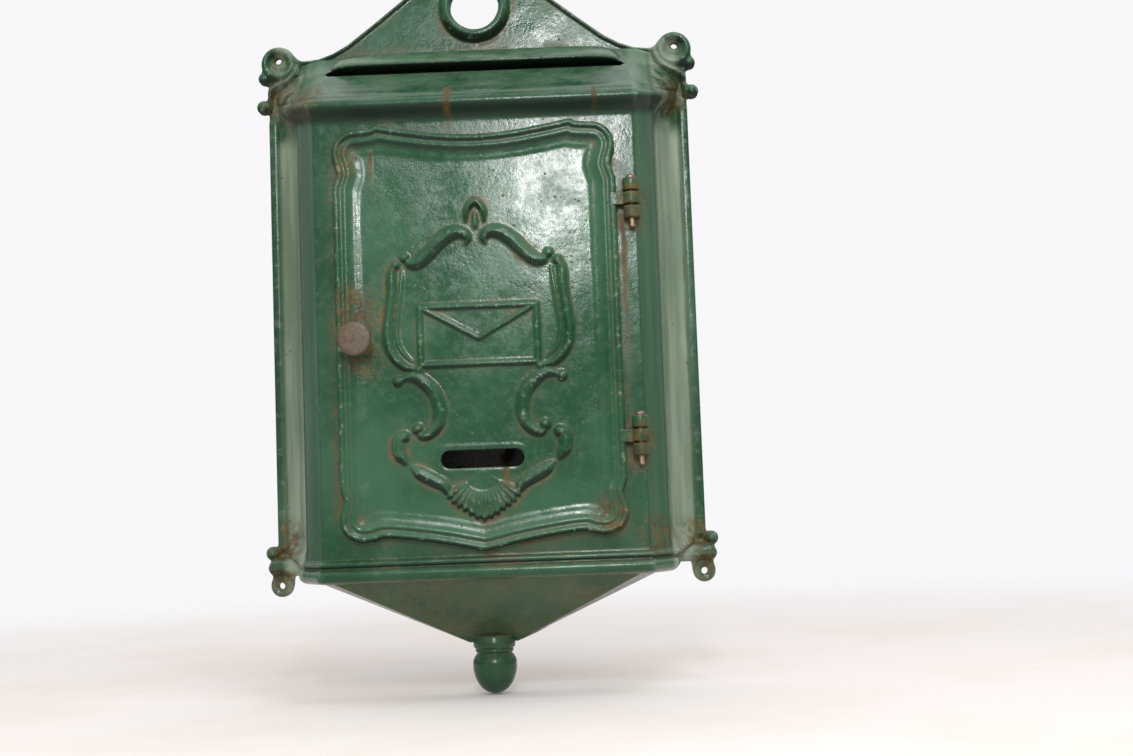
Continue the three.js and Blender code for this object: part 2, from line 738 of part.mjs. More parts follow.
function latchTongue() {
  const blade = rectangle(knobX - 2.7, knobX + 2.7, knobZ - tongueReach, knobZ);
  const area = blade.add(circle(knobX, knobZ, 5.2, 28)).add(circle(knobX, knobZ - tongueReach, 2.7, 20));
  return slab(area.subtract(circle(knobX, knobZ, shankR + clearance, 28)), tongueBack, spacerBack + clearance);
}

function latchNut() {
  const area = circle(knobX, knobZ, 5.4, 6).subtract(circle(knobX, knobZ, shankR + clearance, 28));
  return slab(area, nutBack, tongueBack + clearance);
}

function countersunkSpace([x, z], gap) {
  const head = 3.7 + gap;
  const shank = screwR + gap;
  return turnedY([[0, -1], [head, -1], [head, 0.4 - gap * 0.4], [shank, 2.2], [shank, 4], [0, 4]], x, z, 16);
}

function backPanel() {
  const sheet = slab(panelOutline(0), 0, -panelThickness);
  return sheet.subtract(union(...screwSpots.map((spot) => countersunkSpace(spot, clearance))));
}

function backScrew([x, z]) {
  const slotDepth = 0.9;
  const turned = turnedY([
    [0, 0.2], [3.6, 0.2], [3.6, 0.5], [screwR, 2.2], [screwR, screwLength - 1.2], [0.9, screwLength],
    [0, screwLength],
  ], x, z, 16);
  return turned.subtract(block(x - 4, x + 4, -slotDepth, 1, z - 0.45, z + 0.45));
}

// Materials and the finished group
const greenPaint = new THREE.MeshStandardMaterial({ color: 0x2f5f49, roughness: 0.42, metalness: 0.1 });
const rustyIron = new THREE.MeshStandardMaterial({ color: 0x6e4c3a, roughness: 0.8, metalness: 0.3 });
const dullSteel = new THREE.MeshStandardMaterial({ color: 0x77736b, roughness: 0.6, metalness: 0.7 });

/** Named mesh of a solid; facets flatter than the tolerance are joined. */
function closedMesh(name, solid, material) {
  const data = solid.simplify(facetTolerance).getMesh();
  const geometry = new THREE.BufferGeometry();
  const positions = new Float32Array(data.numVert * 3);
  for (let i = 0; i < data.numVert; i++) {
    positions.set(data.vertProperties.subarray(i * data.numProp, i * data.numProp + 3), i * 3);
  }
  geometry.setAttribute('position', new THREE.BufferAttribute(positions, 3));
  geometry.setIndex(new THREE.BufferAttribute(new Uint32Array(data.triVerts), 1));
  geometry.computeVertexNormals();
  const mesh = new THREE.Mesh(geometry, material);
  mesh.name = name;
  return mesh;
}

const mailbox = new THREE.Group();
mailbox.name = 'rusty_mailbox';
mailbox.add(
  closedMesh('housing', housing(), greenPaint),
  closedMesh('door', door(), greenPaint),
  closedMesh('hinge_pin_upper', hingePin(hingeZ[0]), rustyIron),
  closedMesh('hinge_pin_lower', hingePin(hingeZ[1]), rustyIron),
  closedMesh('knob', knob(), rustyIron),
  closedMesh('latch_spacer', latchSpacer(), rustyIron),
  closedMesh('latch_tongue', latchTongue(), rustyIron),
  closedMesh('latch_nut', latchNut(), rustyIron),
  closedMesh('back_panel', backPanel(), dullSteel),
);
screwSpots.forEach((spot, i) => mailbox.add(closedMesh(`back_screw_${i + 1}`, backScrew(spot), dullSteel)));

export default mailbox;
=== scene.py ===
import math
from functools import partialmethod
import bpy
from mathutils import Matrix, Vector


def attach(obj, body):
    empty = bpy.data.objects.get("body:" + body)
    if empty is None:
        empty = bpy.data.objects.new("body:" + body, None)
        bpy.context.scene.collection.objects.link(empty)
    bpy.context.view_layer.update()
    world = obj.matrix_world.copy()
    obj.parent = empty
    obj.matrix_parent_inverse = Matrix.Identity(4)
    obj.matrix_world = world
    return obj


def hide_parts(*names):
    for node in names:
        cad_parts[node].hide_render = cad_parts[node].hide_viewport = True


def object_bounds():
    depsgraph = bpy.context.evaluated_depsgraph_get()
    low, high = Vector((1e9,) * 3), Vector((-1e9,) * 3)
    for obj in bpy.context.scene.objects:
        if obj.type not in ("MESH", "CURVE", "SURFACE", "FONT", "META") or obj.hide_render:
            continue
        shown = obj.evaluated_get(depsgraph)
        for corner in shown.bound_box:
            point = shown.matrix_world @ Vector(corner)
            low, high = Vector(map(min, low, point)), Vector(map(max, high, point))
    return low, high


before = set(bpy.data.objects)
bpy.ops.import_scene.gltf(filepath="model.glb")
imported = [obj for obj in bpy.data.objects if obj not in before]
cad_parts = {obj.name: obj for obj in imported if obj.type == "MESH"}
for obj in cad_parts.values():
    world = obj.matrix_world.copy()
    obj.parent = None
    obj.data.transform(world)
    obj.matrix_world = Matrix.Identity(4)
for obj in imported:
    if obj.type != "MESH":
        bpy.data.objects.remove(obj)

from types import SimpleNamespace

import bmesh
import bpy
import numpy as np
from bpy.props import FloatProperty, FloatVectorProperty, IntProperty, PointerProperty
from mathutils import Matrix, Vector

bl_info = {
    "name": "Weathered cast-iron mailbox",
    "version": (1, 0, 0),
    "blender": (4, 5, 0),
    "location": "3D View > Sidebar > Mailbox",
    "description": "Dresses the mailbox with its relief, old green paint, rust and dust",
    "category": "Object",
}

CAD_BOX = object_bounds()
MM = 0.001


# Sizes and colours that a user may change

def length(name, text, value):
    return FloatProperty(name=name, description=text, default=value * MM, min=0.0, unit="LENGTH", precision=5)


def colour(name, text, value):
    return FloatVectorProperty(
        name=name, description=text, default=value, min=0.0, max=1.0, size=3, subtype="COLOR")


def power(name, text, value):
    return FloatProperty(name=name, description=text, default=value, min=0.0, unit="POWER")


class CastingSizes(bpy.types.PropertyGroup):
    cell: length("Cell", "Spacing of the points that carry the relief", 0.62)
    fillet: length("Fillet", "Softness of the foot of every raised form", 1.6)
    plate: length("Plate", "Thickness of the wall plate", 3.4)
    rim: length("Rim", "Depth of the raised rim round the plate", 5.0)
    wall: length("Wall", "Thickness of the walls of the casting", 3.0)
    relief: length("Relief", "Height of the scrolls on the door", 3.3)
    border: length("Border", "Height of the rolled bead round the door", 2.8)
    border_width: length("Border width", "Width of the rolled bead round the door", 5.2)
    crown: length("Crown", "How far the middle of the door swells forward", 0.9)
    knuckle: length("Knuckle", "Length of one hinge knuckle", 6.2)
    knuckle_radius: length("Knuckle radius", "Outer radius of a hinge knuckle", 4.2)
    cove_steps: IntProperty(name="Cove steps", description="Facets across each side cove", default=22, min=6)


class FinishColours(bpy.types.PropertyGroup):
    paint: colour("Paint", "Green paint where it is clean", (0.0090, 0.060, 0.023))
    paint_faded: colour("Faded paint", "Green paint where it has gone chalky", (0.036, 0.110, 0.056))
    undercoat: colour("Undercoat", "Pale edge of a chip in the paint", (0.300, 0.350, 0.270))
    # Dust, also laid in the coves as a painted sheen with dust
    dust: colour("Dust", "Dry dust and lime on faces that look up", (0.335, 0.400, 0.300))
    soil: colour("Soil", "Brown dirt that has settled in the recesses", (0.130, 0.112, 0.052))
    # Painted shade: dark green laid on faces that look down and, by the depth share, evenly over a whole coat
    shade: colour("Shade", "Painted_shade on faces that look down", (0.0040, 0.0170, 0.0075))
    rust_dark: colour("Dark rust", "Old brown rust", (0.052, 0.028, 0.008))
    rust_light: colour("Light rust", "Fresh orange rust", (0.155, 0.076, 0.014))
    iron: colour("Iron", "Bare brown iron of the knob", (0.092, 0.068, 0.042))
    steel: colour("Steel", "Dull sheet steel of the back", (0.200, 0.190, 0.170))


class StudioLight(bpy.types.PropertyGroup):
    key: power("Key", "Power of the tall lamp above the camera", 4.3)
    fill: power("Fill", "Power of the small lamp left of it", 0.22)
    side: power("Side", "Power of the lamp high on the right", 4.0)
    sky: FloatProperty(name="Sky", description="Light from the pale room", default=0.80, min=0.0)
    backdrop: colour("Backdrop", "Wall behind the box", (0.940, 0.930, 0.945))
    floor: colour("Floor", "Floor under the box", (0.910, 0.850, 0.825))


def sizes():
    return bpy.context.scene.mailbox_sizes


def tones():
    return bpy.context.scene.mailbox_colours


# Curves and fields, in millimetres, X to the right and Z up

# Height of a raised form far from it, deep enough to leave the ground as it is
AWAY_FROM_FORM = -3.0


def arc(cx, cz, radius, start, end, count):
    """Points on a circle between two angles in degrees."""
    turns = np.radians(np.linspace(start, end, count))
    return [(cx + radius * math.cos(a), cz + radius * math.sin(a)) for a in turns]


def smooth_path(points, steps):
    """Points along a curve through the given [x, z, half width] points."""
    p = np.array(points, float)
    p = np.vstack([2 * p[0] - p[1], p, 2 * p[-1] - p[-2]])
    spans = len(p) - 3
    t = np.linspace(0, spans, steps + 1)
    i = np.minimum(t.astype(int), spans - 1)
    u = (t - i)[:, None]
    a, b, c, d = p[i], p[i + 1], p[i + 2], p[i + 3]
    square, cube = 2 * a - 5 * b + 4 * c - d, 3 * b - 3 * c + d - a
    return 0.5 * (2 * b + (c - a) * u + square * u ** 2 + cube * u ** 3)


def soft_max(a, b, softness):
    """Greater of two fields, with a soft fold where they meet."""
    near = np.maximum(softness - np.abs(a - b), 0) / softness
    return np.maximum(a, b) + near * near * softness / 4


def soft_min(a, b, softness):
    return -soft_max(-a, -b, softness)


def outline_distance(x, z, outline):
    """Distance to a closed outline, negative inside it."""
    best = np.full(x.shape, 1e9)
    inside = np.zeros(x.shape, bool)
    for (x0, z0), (x1, z1) in zip(outline, np.roll(outline, -1, axis=0)):
        dx, dz = x1 - x0, z1 - z0
        along = np.clip(((x - x0) * dx + (z - z0) * dz) / max(dx * dx + dz * dz, 1e-9), 0, 1)
        best = np.minimum(best, (x - x0 - along * dx) ** 2 + (z - z0 - along * dz) ** 2)
        if z0 != z1:
            crossing = (z0 > z) != (z1 > z)
            inside ^= crossing & (x < x0 + (z - z0) * dx / dz)
    return np.where(inside, -1, 1) * np.sqrt(best)


def rounded_box(x, z, x0, x1, z0, z1, radius):
    """Distance to an upright rectangle with round corners, negative inside it."""
    dx = np.abs(x - (x0 + x1) / 2) - (x1 - x0) / 2 + radius
    dz = np.abs(z - (z0 + z1) / 2) - (z1 - z0) / 2 + radius
    outside = np.hypot(np.maximum(dx, 0), np.maximum(dz, 0))
    return outside + np.minimum(np.maximum(dx, dz), 0) - radius


def ribbon(x, z, points, height, steps=40, margin=7):
    """Height of a rounded ribbon that follows the points; it falls below zero beside them."""
    path = smooth_path(points, steps)
    result = np.full(x.shape, AWAY_FROM_FORM)
    near = (
        (x > path[:, 0].min() - margin) & (x < path[:, 0].max() + margin)
        & (z > path[:, 1].min() - margin) & (z < path[:, 1].max() + margin)
    )
    px, pz = x[near], z[near]
    best = np.full(px.shape, 1e9)
    top = np.full(px.shape, AWAY_FROM_FORM)
    for k in range(steps):
        (x0, z0, w0), (x1, z1, w1) = path[k], path[k + 1]
        dx, dz = x1 - x0, z1 - z0
        along = np.clip(((px - x0) * dx + (pz - z0) * dz) / (dx * dx + dz * dz), 0, 1)
        place = (k + along) / steps
        end = np.minimum(1, np.sqrt(np.sin(math.pi * (0.03 + 0.94 * place))) * 1.25)
        width = (w0 + (w1 - w0) * along) * end
        across = np.hypot(px - x0 - along * dx, pz - z0 - along * dz) / width
        tube = np.sqrt(np.maximum(1 - across ** 2, 0))
        ridge = np.maximum(1 - (across / 0.42) ** 2, 0)
        here = height * end * (0.84 * tube + 0.16 * ridge - 1.5 * np.maximum(across - 1, 0))
        closer = across < best
        best = np.where(closer, across, best)
        top = np.where(closer, here, top)
    result[near] = np.maximum(top, AWAY_FROM_FORM)
    return result


def dome(x, z, centre, radius, height):
    """Height of a round button."""
    away = np.hypot(x - centre[0], z - centre[1]) / radius
    return np.maximum(height * (1 - away ** 2.4), AWAY_FROM_FORM)


def blurred(field, reach):
    """Field smoothed over a number of cells."""
    offsets = np.arange(-3 * reach, 3 * reach + 1)
    weights = np.exp(-0.5 * (offsets / reach) ** 2)
    weights /= weights.sum()
    for axis in (0, 1):
        padded = np.pad(field, [(3 * reach, 3 * reach) if a == axis else (0, 0) for a in (0, 1)], mode="edge")
        size = field.shape[axis]
        field = sum(
            w * np.take(padded, range(k, k + size), axis=axis) for k, w in enumerate(weights))
    return field


def waves(x, z, height, scale):
    """Slow unevenness of a hand-finished casting."""
    return height * (
        np.sin(x / scale + 0.7) * np.cos(z / (1.3 * scale) + 1.9)
        + 0.6 * np.sin((x + 0.6 * z) / (0.61 * scale) + 4.1)
        + 0.4 * np.cos((0.8 * x - z) / (0.37 * scale) + 0.3)
    )


# Meshes

def link_mesh(name, mesh):
    piece = bpy.data.objects.new(name, mesh)
    bpy.context.scene.collection.objects.link(piece)
    return piece


def mesh_from(name, points, faces):
    mesh = bpy.data.meshes.new(name)
    mesh.from_pydata([tuple(p) for p in points], [], [tuple(f) for f in faces])
    return mesh


def tidy_mesh(mesh, merge=1e-6):
    """Joins points that meet and turns the faces outward; merge is in metres."""
    work = bmesh.new()
    work.from_mesh(mesh)
    bmesh.ops.remove_doubles(work, verts=work.verts, dist=merge)
    bmesh.ops.dissolve_degenerate(work, edges=work.edges, dist=merge)
    bmesh.ops.recalc_face_normals(work, faces=work.faces)
    work.to_mesh(mesh)
    work.free()
    mesh.update()


def smooth_faces(mesh, degrees):
    """Smooth shading, with sharp edges above an angle."""
    mesh.shade_smooth()
    mesh.set_sharp_from_angle(angle=math.radians(degrees))


# Share of a cell that points keep from the outline; reach of the blur that finds hollows and ridges, and
# step for the slope of the outline's distance, both in millimetres
OUTLINE_MARGIN, BLUR_REACH, SLOPE_STEP = 0.25, 2.3, 0.05


def relief_solid(name, inside, height, back, low, high, cell):
    """Closed solid whose front follows a height field and whose outline is where inside() is zero."""
    x, z = np.meshgrid(np.arange(low[0], high[0], cell), np.arange(low[1], high[1], cell), indexing="ij")
    solid = inside(x, z) < -OUTLINE_MARGIN * cell
    keep = solid[:-1, :-1] | solid[1:, :-1] | solid[:-1, 1:] | solid[1:, 1:]
    used = np.zeros(x.shape, bool)
    for a in (0, 1):
        for b in (0, 1):
            used[a:a + keep.shape[0], b:b + keep.shape[1]] |= keep
    even = height(x, z)
    smooth = blurred(even, max(2, round(BLUR_REACH / cell)))
    rim = used & ~solid
    px, pz = x[rim], z[rim]
    for _ in range(4):
        value = inside(px, pz)
        gx = (inside(px + SLOPE_STEP, pz) - value) / SLOPE_STEP
        gz = (inside(px, pz + SLOPE_STEP) - value) / SLOPE_STEP
        slope = np.maximum(gx * gx + gz * gz, 0.1)
        px, pz = px - value * gx / slope, pz - value * gz / slope
    x[rim], z[rim] = px, pz
    even[rim] = height(px, pz)
    index = np.full(x.shape, -1)
    index[used] = np.arange(used.sum())
    front = np.stack([x[used], -even[used], z[used]], axis=1)
    corner = [index[:-1, :-1], index[1:, :-1], index[1:, 1:], index[:-1, 1:]]
    quads = np.stack([c[keep] for c in corner], axis=1)
    framed = np.pad(keep, 1)
    neighbours = [framed[1:-1, :-2], framed[2:, 1:-1], framed[1:-1, 2:], framed[:-2, 1:-1]]
    edges = np.concatenate([
        np.stack([corner[k][keep & ~near], corner[(k + 1) % 4][keep & ~near]], axis=1)
        for k, near in enumerate(neighbours)])
    border = np.unique(edges)
    behind = np.full(used.sum(), -1)
    behind[border] = used.sum() + np.arange(len(border))
    rear = front[border].copy()
    rear[:, 1] = -back
    sides = np.stack([edges[:, 1], edges[:, 0], behind[edges[:, 0]], behind[edges[:, 1]]], axis=1)
    points = np.concatenate([front, rear]) * MM
    mesh = mesh_from(name, points, np.concatenate([quads, sides]).tolist())
    for label, values in (("recess", smooth - even), ("ridge", even - smooth)):
        layer = mesh.attributes.new(label, "FLOAT", "POINT")
        full = np.zeros(len(points), np.float32)
        full[:len(front)] = np.clip(values[used], 0, 3)
        layer.data.foreach_set("value", full)
    work = bmesh.new()
    work.from_mesh(mesh)
    open_edges = [e for e in work.edges if e.is_boundary]
    bmesh.ops.triangle_fill(work, edges=open_edges, normal=(0, 1, 0))
    bmesh.ops.recalc_face_normals(work, faces=work.faces)
    work.to_mesh(mesh)
    work.free()
    return mesh


def ring_loft(name, rings, merge=1e-6):
    """Closed skin over rings of points with the same count, in millimetres; merge is in metres."""
    count = len(rings[0])
    faces = []
    for r in range(len(rings) - 1):
        for i in range(count):
            j = (i + 1) % count
            faces.append((r * count + i, r * count + j, (r + 1) * count + j, (r + 1) * count + i))
    faces.append(tuple(reversed(range(count))))
    faces.append(tuple(range((len(rings) - 1) * count, len(rings) * count)))
    mesh = mesh_from(name, np.concatenate(rings) * MM, faces)
    tidy_mesh(mesh, merge)
    return mesh


def prism(name, outline, back, front):
    """Region drawn in X and Z between two distances in front of the wall."""
    rings = [np.array([[x, -y, z] for x, z in outline]) for y in (back, front)]
    return ring_loft(name, rings)


def turned(name, profile, centre, axis, steps):
    """Turned solid; the profile lists [radius, distance along the axis]."""
    rings = []
    for r, h in profile:
        circle = arc(*centre, max(r, 0.001), 0, 360, steps + 1)[:-1]
        rings.append(np.array([(u, -h, v) if axis == "Y" else (u, v, h) for u, v in circle]))
    return ring_loft(name, rings, merge=4e-6)


def shaped(piece, cutters, operation):
    """Joins the meshes to the piece or cuts them out of it."""
    for mesh in cutters:
        tool = link_mesh("tool", mesh)
        change = piece.modifiers.new("shape", "BOOLEAN")
        change.object = tool
        change.operation = operation
        change.solver = "EXACT"
        bake(piece)
        bpy.data.objects.remove(tool)
    return piece


def bake(piece):
    """Turns a piece with modifiers into a plain mesh."""
    view = bpy.context.evaluated_depsgraph_get()
    mesh = bpy.data.meshes.new_from_object(piece.evaluated_get(view))
    piece.modifiers.clear()
    piece.data = mesh
    return piece


def joined(name, meshes):
    """One mesh made of several."""
    work = bmesh.new()
    for mesh in meshes:
        work.from_mesh(mesh)
    result = bpy.data.meshes.new(name)
    work.to_mesh(result)
    work.free()
    return result


# Shader helpers

FLOAT, COLOUR, VECTOR = "NodeSocketFloat", "NodeSocketColor", "NodeSocketVector"


def rgba(value):
    return (*value, 1.0)


class Weave:
    """Short ways to add and link the nodes of one tree."""

    def __init__(self, tree):
        self.tree = tree

    def link(self, source, target):
        self.tree.links.new(source, target)

    def put(self, kind, inputs=None, **settings):
        """Adds a node; an input given as a socket is linked, and any other value is set."""
        node = self.tree.nodes.new(kind)
        for key, value in settings.items():
            setattr(node, key, value)
        for key, value in (inputs or {}).items():
            if isinstance(value, bpy.types.NodeSocket):
                self.link(value, node.inputs[key])
            else:
                node.inputs[key].default_value = value
        return node

    def first(self, kind, inputs=None, **settings):
        """First output of a new node."""
        return self.put(kind, inputs, **settings).outputs[0]

    def use(self, name, inputs=None):
        return self.put("ShaderNodeGroup", inputs, node_tree=bpy.data.node_groups[name]).outputs

    def maths(self, operation, a, b=0.0, clamp=False):
        return self.first("ShaderNodeMath", {0: a, 1: b}, operation=operation, use_clamp=clamp)

    times = partialmethod(maths, "MULTIPLY")
    plus = partialmethod(maths, "ADD")
    minus = partialmethod(maths, "SUBTRACT")
    most = partialmethod(maths, "MAXIMUM")

    def total(self, start, shares, clamp=False):
        """Start value plus every field times its share."""
        for field, share in shares:
            start = self.plus(start, self.times(field, share), clamp)
        return start

    def span(self, value, low, high, to_low=0.0, to_high=1.0):
        """Maps low..high to to_low..to_high with soft ends."""
        return self.put("ShaderNodeMapRange", {
            "Value": value, "From Min": low, "From Max": high, "To Min": to_low, "To Max": to_high,
        }, interpolation_type="SMOOTHSTEP").outputs["Result"]

    def band(self, value, start, full, fading, end):
        """One from full to fading, and nothing before start or after end."""
        return self.times(self.span(value, start, full), self.span(value, end, fading))

    def blend(self, factor, a, b):
        """Mixes two colours; 6, 7 and 2 are the places of the colour sockets."""
        return self.put(
            "ShaderNodeMix", {0: factor, 6: a, 7: b}, data_type="RGBA", clamp_factor=True).outputs[2]

    def noise(self, place, scale, detail=4.0, roughness=0.55, stretch=None):
        if stretch:
            place = self.first("ShaderNodeMapping", {"Vector": place, "Scale": stretch})
        return self.first("ShaderNodeTexNoise", {
            "Vector": place, "Scale": scale, "Detail": detail, "Roughness": roughness})

    def place(self):
        return self.put("ShaderNodeTexCoord").outputs["Object"]

    def parts(self, vector):
        return self.put("ShaderNodeSeparateXYZ", {0: vector}).outputs


def group(name, inputs, outputs, kind="ShaderNodeTree"):
    """New node group; each input is a name, a kind and a value, and each output a name and a kind."""
    tree = bpy.data.node_groups.new(name, kind)
    for label, socket_type, value in inputs:
        socket = tree.interface.new_socket(label, in_out="INPUT", socket_type=socket_type)
        if value is not None:
            socket.default_value = value
    for label, socket_type in outputs:
        tree.interface.new_socket(label, in_out="OUTPUT", socket_type=socket_type)
    given = tree.nodes.new("NodeGroupInput").outputs
    out = tree.nodes.new("NodeGroupOutput").inputs
    return Weave(tree), given, out


def wear_group():
    """Masks for recesses, worn edges and faces that look up or down, and a softened normal."""
    w, given, out = group("Wear", [
        ("Edge Radius", FLOAT, 0.9 * MM), ("Recess Reach", FLOAT, 7 * MM),
    ], [("Recess", FLOAT), ("Edge", FLOAT), ("Upward", FLOAT), ("Downward", FLOAT), ("Normal", VECTOR)])
    soft = w.first("ShaderNodeBevel", {"Radius": given["Edge Radius"]}, samples=4)
    shape = w.put("ShaderNodeNewGeometry")
    turn = w.put("ShaderNodeVectorMath", {0: soft, 1: shape.outputs["Normal"]}, operation="DOT_PRODUCT")
    corner = w.span(turn.outputs["Value"], 0.999, 0.90)
    open_air = w.put("ShaderNodeAmbientOcclusion", {"Distance": given["Recess Reach"]}, samples=6)
    closed = w.span(open_air.outputs["AO"], 0.97, 0.50)
    lifted = w.put("ShaderNodeAttribute", attribute_name="ridge").outputs["Fac"]
    sunk = w.put("ShaderNodeAttribute", attribute_name="recess").outputs["Fac"]
    w.link(w.most(closed, w.span(sunk, 0.05, 0.60)), out["Recess"])
    convex = w.times(corner, w.minus(1.0, closed, clamp=True))
    w.link(w.most(convex, w.span(lifted, 0.15, 0.9)), out["Edge"])
    tilt = w.parts(soft)["Z"]
    w.link(w.span(tilt, 0.02, 0.75), out["Upward"])
    w.link(w.span(tilt, -0.08, -0.48), out["Downward"])
    w.link(soft, out["Normal"])


def rust_group():
    """Colour and grain of rust."""
    w, given, out = group("Rust", [
        ("Dark", COLOUR, (0.06, 0.028, 0.014, 1)), ("Light", COLOUR, (0.27, 0.11, 0.036, 1)),
        ("Scale", FLOAT, 160.0),
    ], [("Color", COLOUR), ("Grain", FLOAT)])
    place = w.place()
    broad = w.noise(place, given["Scale"], 5.0, 0.62)
    fine = w.noise(place, w.times(given["Scale"], 7.0), 3.0, 0.6)
    mixed = w.plus(w.times(broad, 0.7), w.times(fine, 0.3))
    w.link(w.blend(w.span(mixed, 0.40, 0.64), given["Dark"], given["Light"]), out["Color"])
    w.link(mixed, out["Grain"])


def speck_group():
    """Small pits and chips."""
    w, given, out = group("Specks", [
        ("Scale", FLOAT, 500.0), ("Amount", FLOAT, 0.3),
    ], [("Mask", FLOAT)])
    cells = w.put("ShaderNodeTexVoronoi", {"Vector": w.place(), "Scale": given["Scale"]})
    chance = w.first("ShaderNodeSeparateColor", {0: cells.outputs["Color"]})
    chosen = w.maths("LESS_THAN", chance, given["Amount"])
    away = w.plus(cells.outputs["Distance"], w.times(chance, 0.5))
    w.link(w.times(chosen, w.span(away, 0.42, 0.20)), out["Mask"])


def shader(name):
    """New material with its surface and its last node."""
    material = bpy.data.materials.new(name)
    material.use_nodes = True
    w = Weave(material.node_tree)
    w.tree.nodes.clear()
    surface = w.put("ShaderNodeBsdfPrincipled")
    return w, surface, w.put("ShaderNodeOutputMaterial", {"Surface": surface.outputs[0]})


def set_surface(w, surface, seen, rough, height, depth, normal):
    """Colour, roughness and bumps of a surface; depth is the height of a bump."""
    w.link(seen, surface.inputs["Base Color"])
    w.link(rough, surface.inputs["Roughness"])
    bump = w.first("ShaderNodeBump", {"Strength": 0.6, "Distance": depth, "Height": height, "Normal": normal})
    w.link(bump, surface.inputs["Normal"])


def streak(w, place, x, top, width, drop):
    """Rust that has run down from one place; sizes in metres."""
    parts = w.parts(place)
    wander = w.times(w.minus(w.noise(place, 60.0, 2.0), 0.5), width * 1.5)
    off = w.maths("ABSOLUTE", w.plus(w.minus(parts["X"], x), wander))
    fall = w.times(w.span(parts["Z"], top - drop, top), w.span(parts["Z"], top + 0.004, top))
    return w.times(w.span(off, width, width * 0.15), fall)


def spot(w, place, x, z, radius):
    """Soft round patch on the front; sizes in metres."""
    parts = w.parts(place)
    across = w.minus(parts["X"], x)
    upright = w.minus(parts["Z"], z)
    away = w.maths("SQRT", w.plus(w.times(across, across), w.times(upright, upright)))
    return w.span(away, radius, radius * 0.25)


def gather(w, masks, strength):
    """Strongest of several masks, times a strength."""
    total = masks[0]
    for mask in masks[1:]:
        total = w.most(total, mask)
    return w.times(total, strength)


# Bands of the casting in metres: start, full, fading and end. The first four lie across X, the hood along Z.
BEVEL_PAINT = (0.0812, 0.0830, 0.0915, 0.0935)
BEVEL_DUST = (0.0810, 0.0830, 0.0905, 0.0925)
# The cove band carries dust and a painted sheen
COVE_DUST_AND_SHEEN = (0.0925, 0.0955, 0.1060, 0.1110)
HOOD_DUST = (0.1285, 0.1300, 0.1400, 0.1450)
# Heights between which a look changes, in metres
HOPPER_TOP, HOPPER_FOOT, COVE_TOP = (-0.1385, -0.1410), (-0.1745, -0.1705), (0.100, 0.088)


def paint_fields(w):
    """Places and noises that the layers of the paint share."""
    place = w.place()
    parts = w.parts(place)
    return SimpleNamespace(
        place=place, y=parts["Y"], z=parts["Z"], side=w.maths("ABSOLUTE", parts["X"]),
        broad=w.noise(place, 14.0, 3.0, 0.6), middle=w.noise(place, 60.0, 4.0, 0.6),
        small=w.noise(place, 260.0, 4.0, 0.65), fine=w.noise(place, 1100.0, 3.0, 0.6),
        runs=w.noise(place, 75.0, 3.0, 0.55, stretch=(1.0, 1.0, 0.10)),
        chalky=w.noise(place, 48.0, 5.0, 0.7), peel=w.noise(place, 520.0, 2.0, 0.5),
        uneven=w.noise(place, 42.0, 2.0, 0.5))


def paint_coat(w, f, wear, depth):
    """Green paint, paler on the bevels, darkened evenly by painted shade by the depth share, with painted
    shade on faces that look down and soil on the hopper.
    """
    c = tones()
    coat = w.blend(w.span(f.broad, 0.36, 0.68), rgba(c.paint), rgba(c.paint_faded))
    coat = w.blend(w.span(f.small, 0.42, 0.72, 0.0, 0.45), coat, rgba(c.paint_faded))
    pale = rgba([v * 1.15 for v in c.paint_faded])
    coat = w.blend(w.times(w.band(f.side, *BEVEL_PAINT), 0.6), coat, pale)
    # Painted shade over the whole coat, by the depth share
    coat = w.blend(depth, coat, rgba(c.shade))
    # Painted shade on faces that look down, weak on the hopper
    shade = w.times(wear["Downward"], w.span(f.z, HOPPER_TOP[0], -0.1345, 0.12, 0.95))
    coat = w.blend(shade, coat, rgba(c.shade))
    hopper = w.times(w.span(f.z, *HOPPER_TOP, 0.0, 0.42), w.span(f.z, *HOPPER_FOOT, 0.2, 1.0))
    soiled = w.times(hopper, w.span(f.middle, 0.30, 0.70, 0.35, 1.0))
    return w.blend(soiled, coat, rgba(c.soil)), shade


def dust_and_sheen_mask(w, f, wear, hollow_dust_and_sheen, upward_dust):
    """Dust on faces that look up, most of all on the hood, and on the bevels; in the coves dust with a
    painted sheen.
    """
    toward_ears = w.span(f.side, 0.045, 0.100, 0.70, 1.0)
    lying = w.times(wear["Upward"], w.times(w.span(f.middle, 0.34, 0.62, 0.15, 1.0), toward_ears))
    hood = w.span(w.band(f.z, *HOOD_DUST), 0.0, 1.0, upward_dust, upward_dust * 1.9)
    # Dust with a painted sheen over the coves, paler where they face sideways
    cove = w.times(w.band(f.side, *COVE_DUST_AND_SHEEN), w.span(f.y, -0.0015, -0.0030))
    patches = w.span(f.middle, 0.40, 0.62, 0.0, 0.45)
    washed = w.span(f.runs, 0.30, 0.66, 0.40, 0.92)
    cove = w.times(cove, w.blend(w.span(f.z, *COVE_TOP), patches, washed))
    bevel = w.times(w.band(f.side, *BEVEL_DUST), w.span(f.runs, 0.34, 0.62, 0.0, 0.10))
    return w.plus(w.times(lying, hood), w.times(w.most(cove, bevel), hollow_dust_and_sheen), clamp=True)


def dirt_masks(w, f, wear, stains, runs_down):
    """Soil in the recesses, and rust in them, round the given places and below others."""
    patchy = w.times(w.span(f.middle, 0.38, 0.62, 0.20, 1.0), w.span(f.broad, 0.34, 0.60, 0.35, 1.0))
    hidden = w.times(wear["Recess"], w.minus(1.0, w.times(wear["Downward"], 0.9), clamp=True))
    soil = w.times(hidden, w.span(patchy, 0.1, 0.9, 0.12, 0.52))
    rust = w.times(hidden, w.times(w.span(patchy, 0.50, 1.0), 0.60))
    spread = gather(w, [spot(w, f.place, *row) for row in stains], 0.78)
    rust = w.most(rust, w.times(spread, w.span(f.small, 0.36, 0.60, 0.10, 1.0)))
    return soil, w.most(rust, gather(w, [streak(w, f.place, *row) for row in runs_down], 0.80))


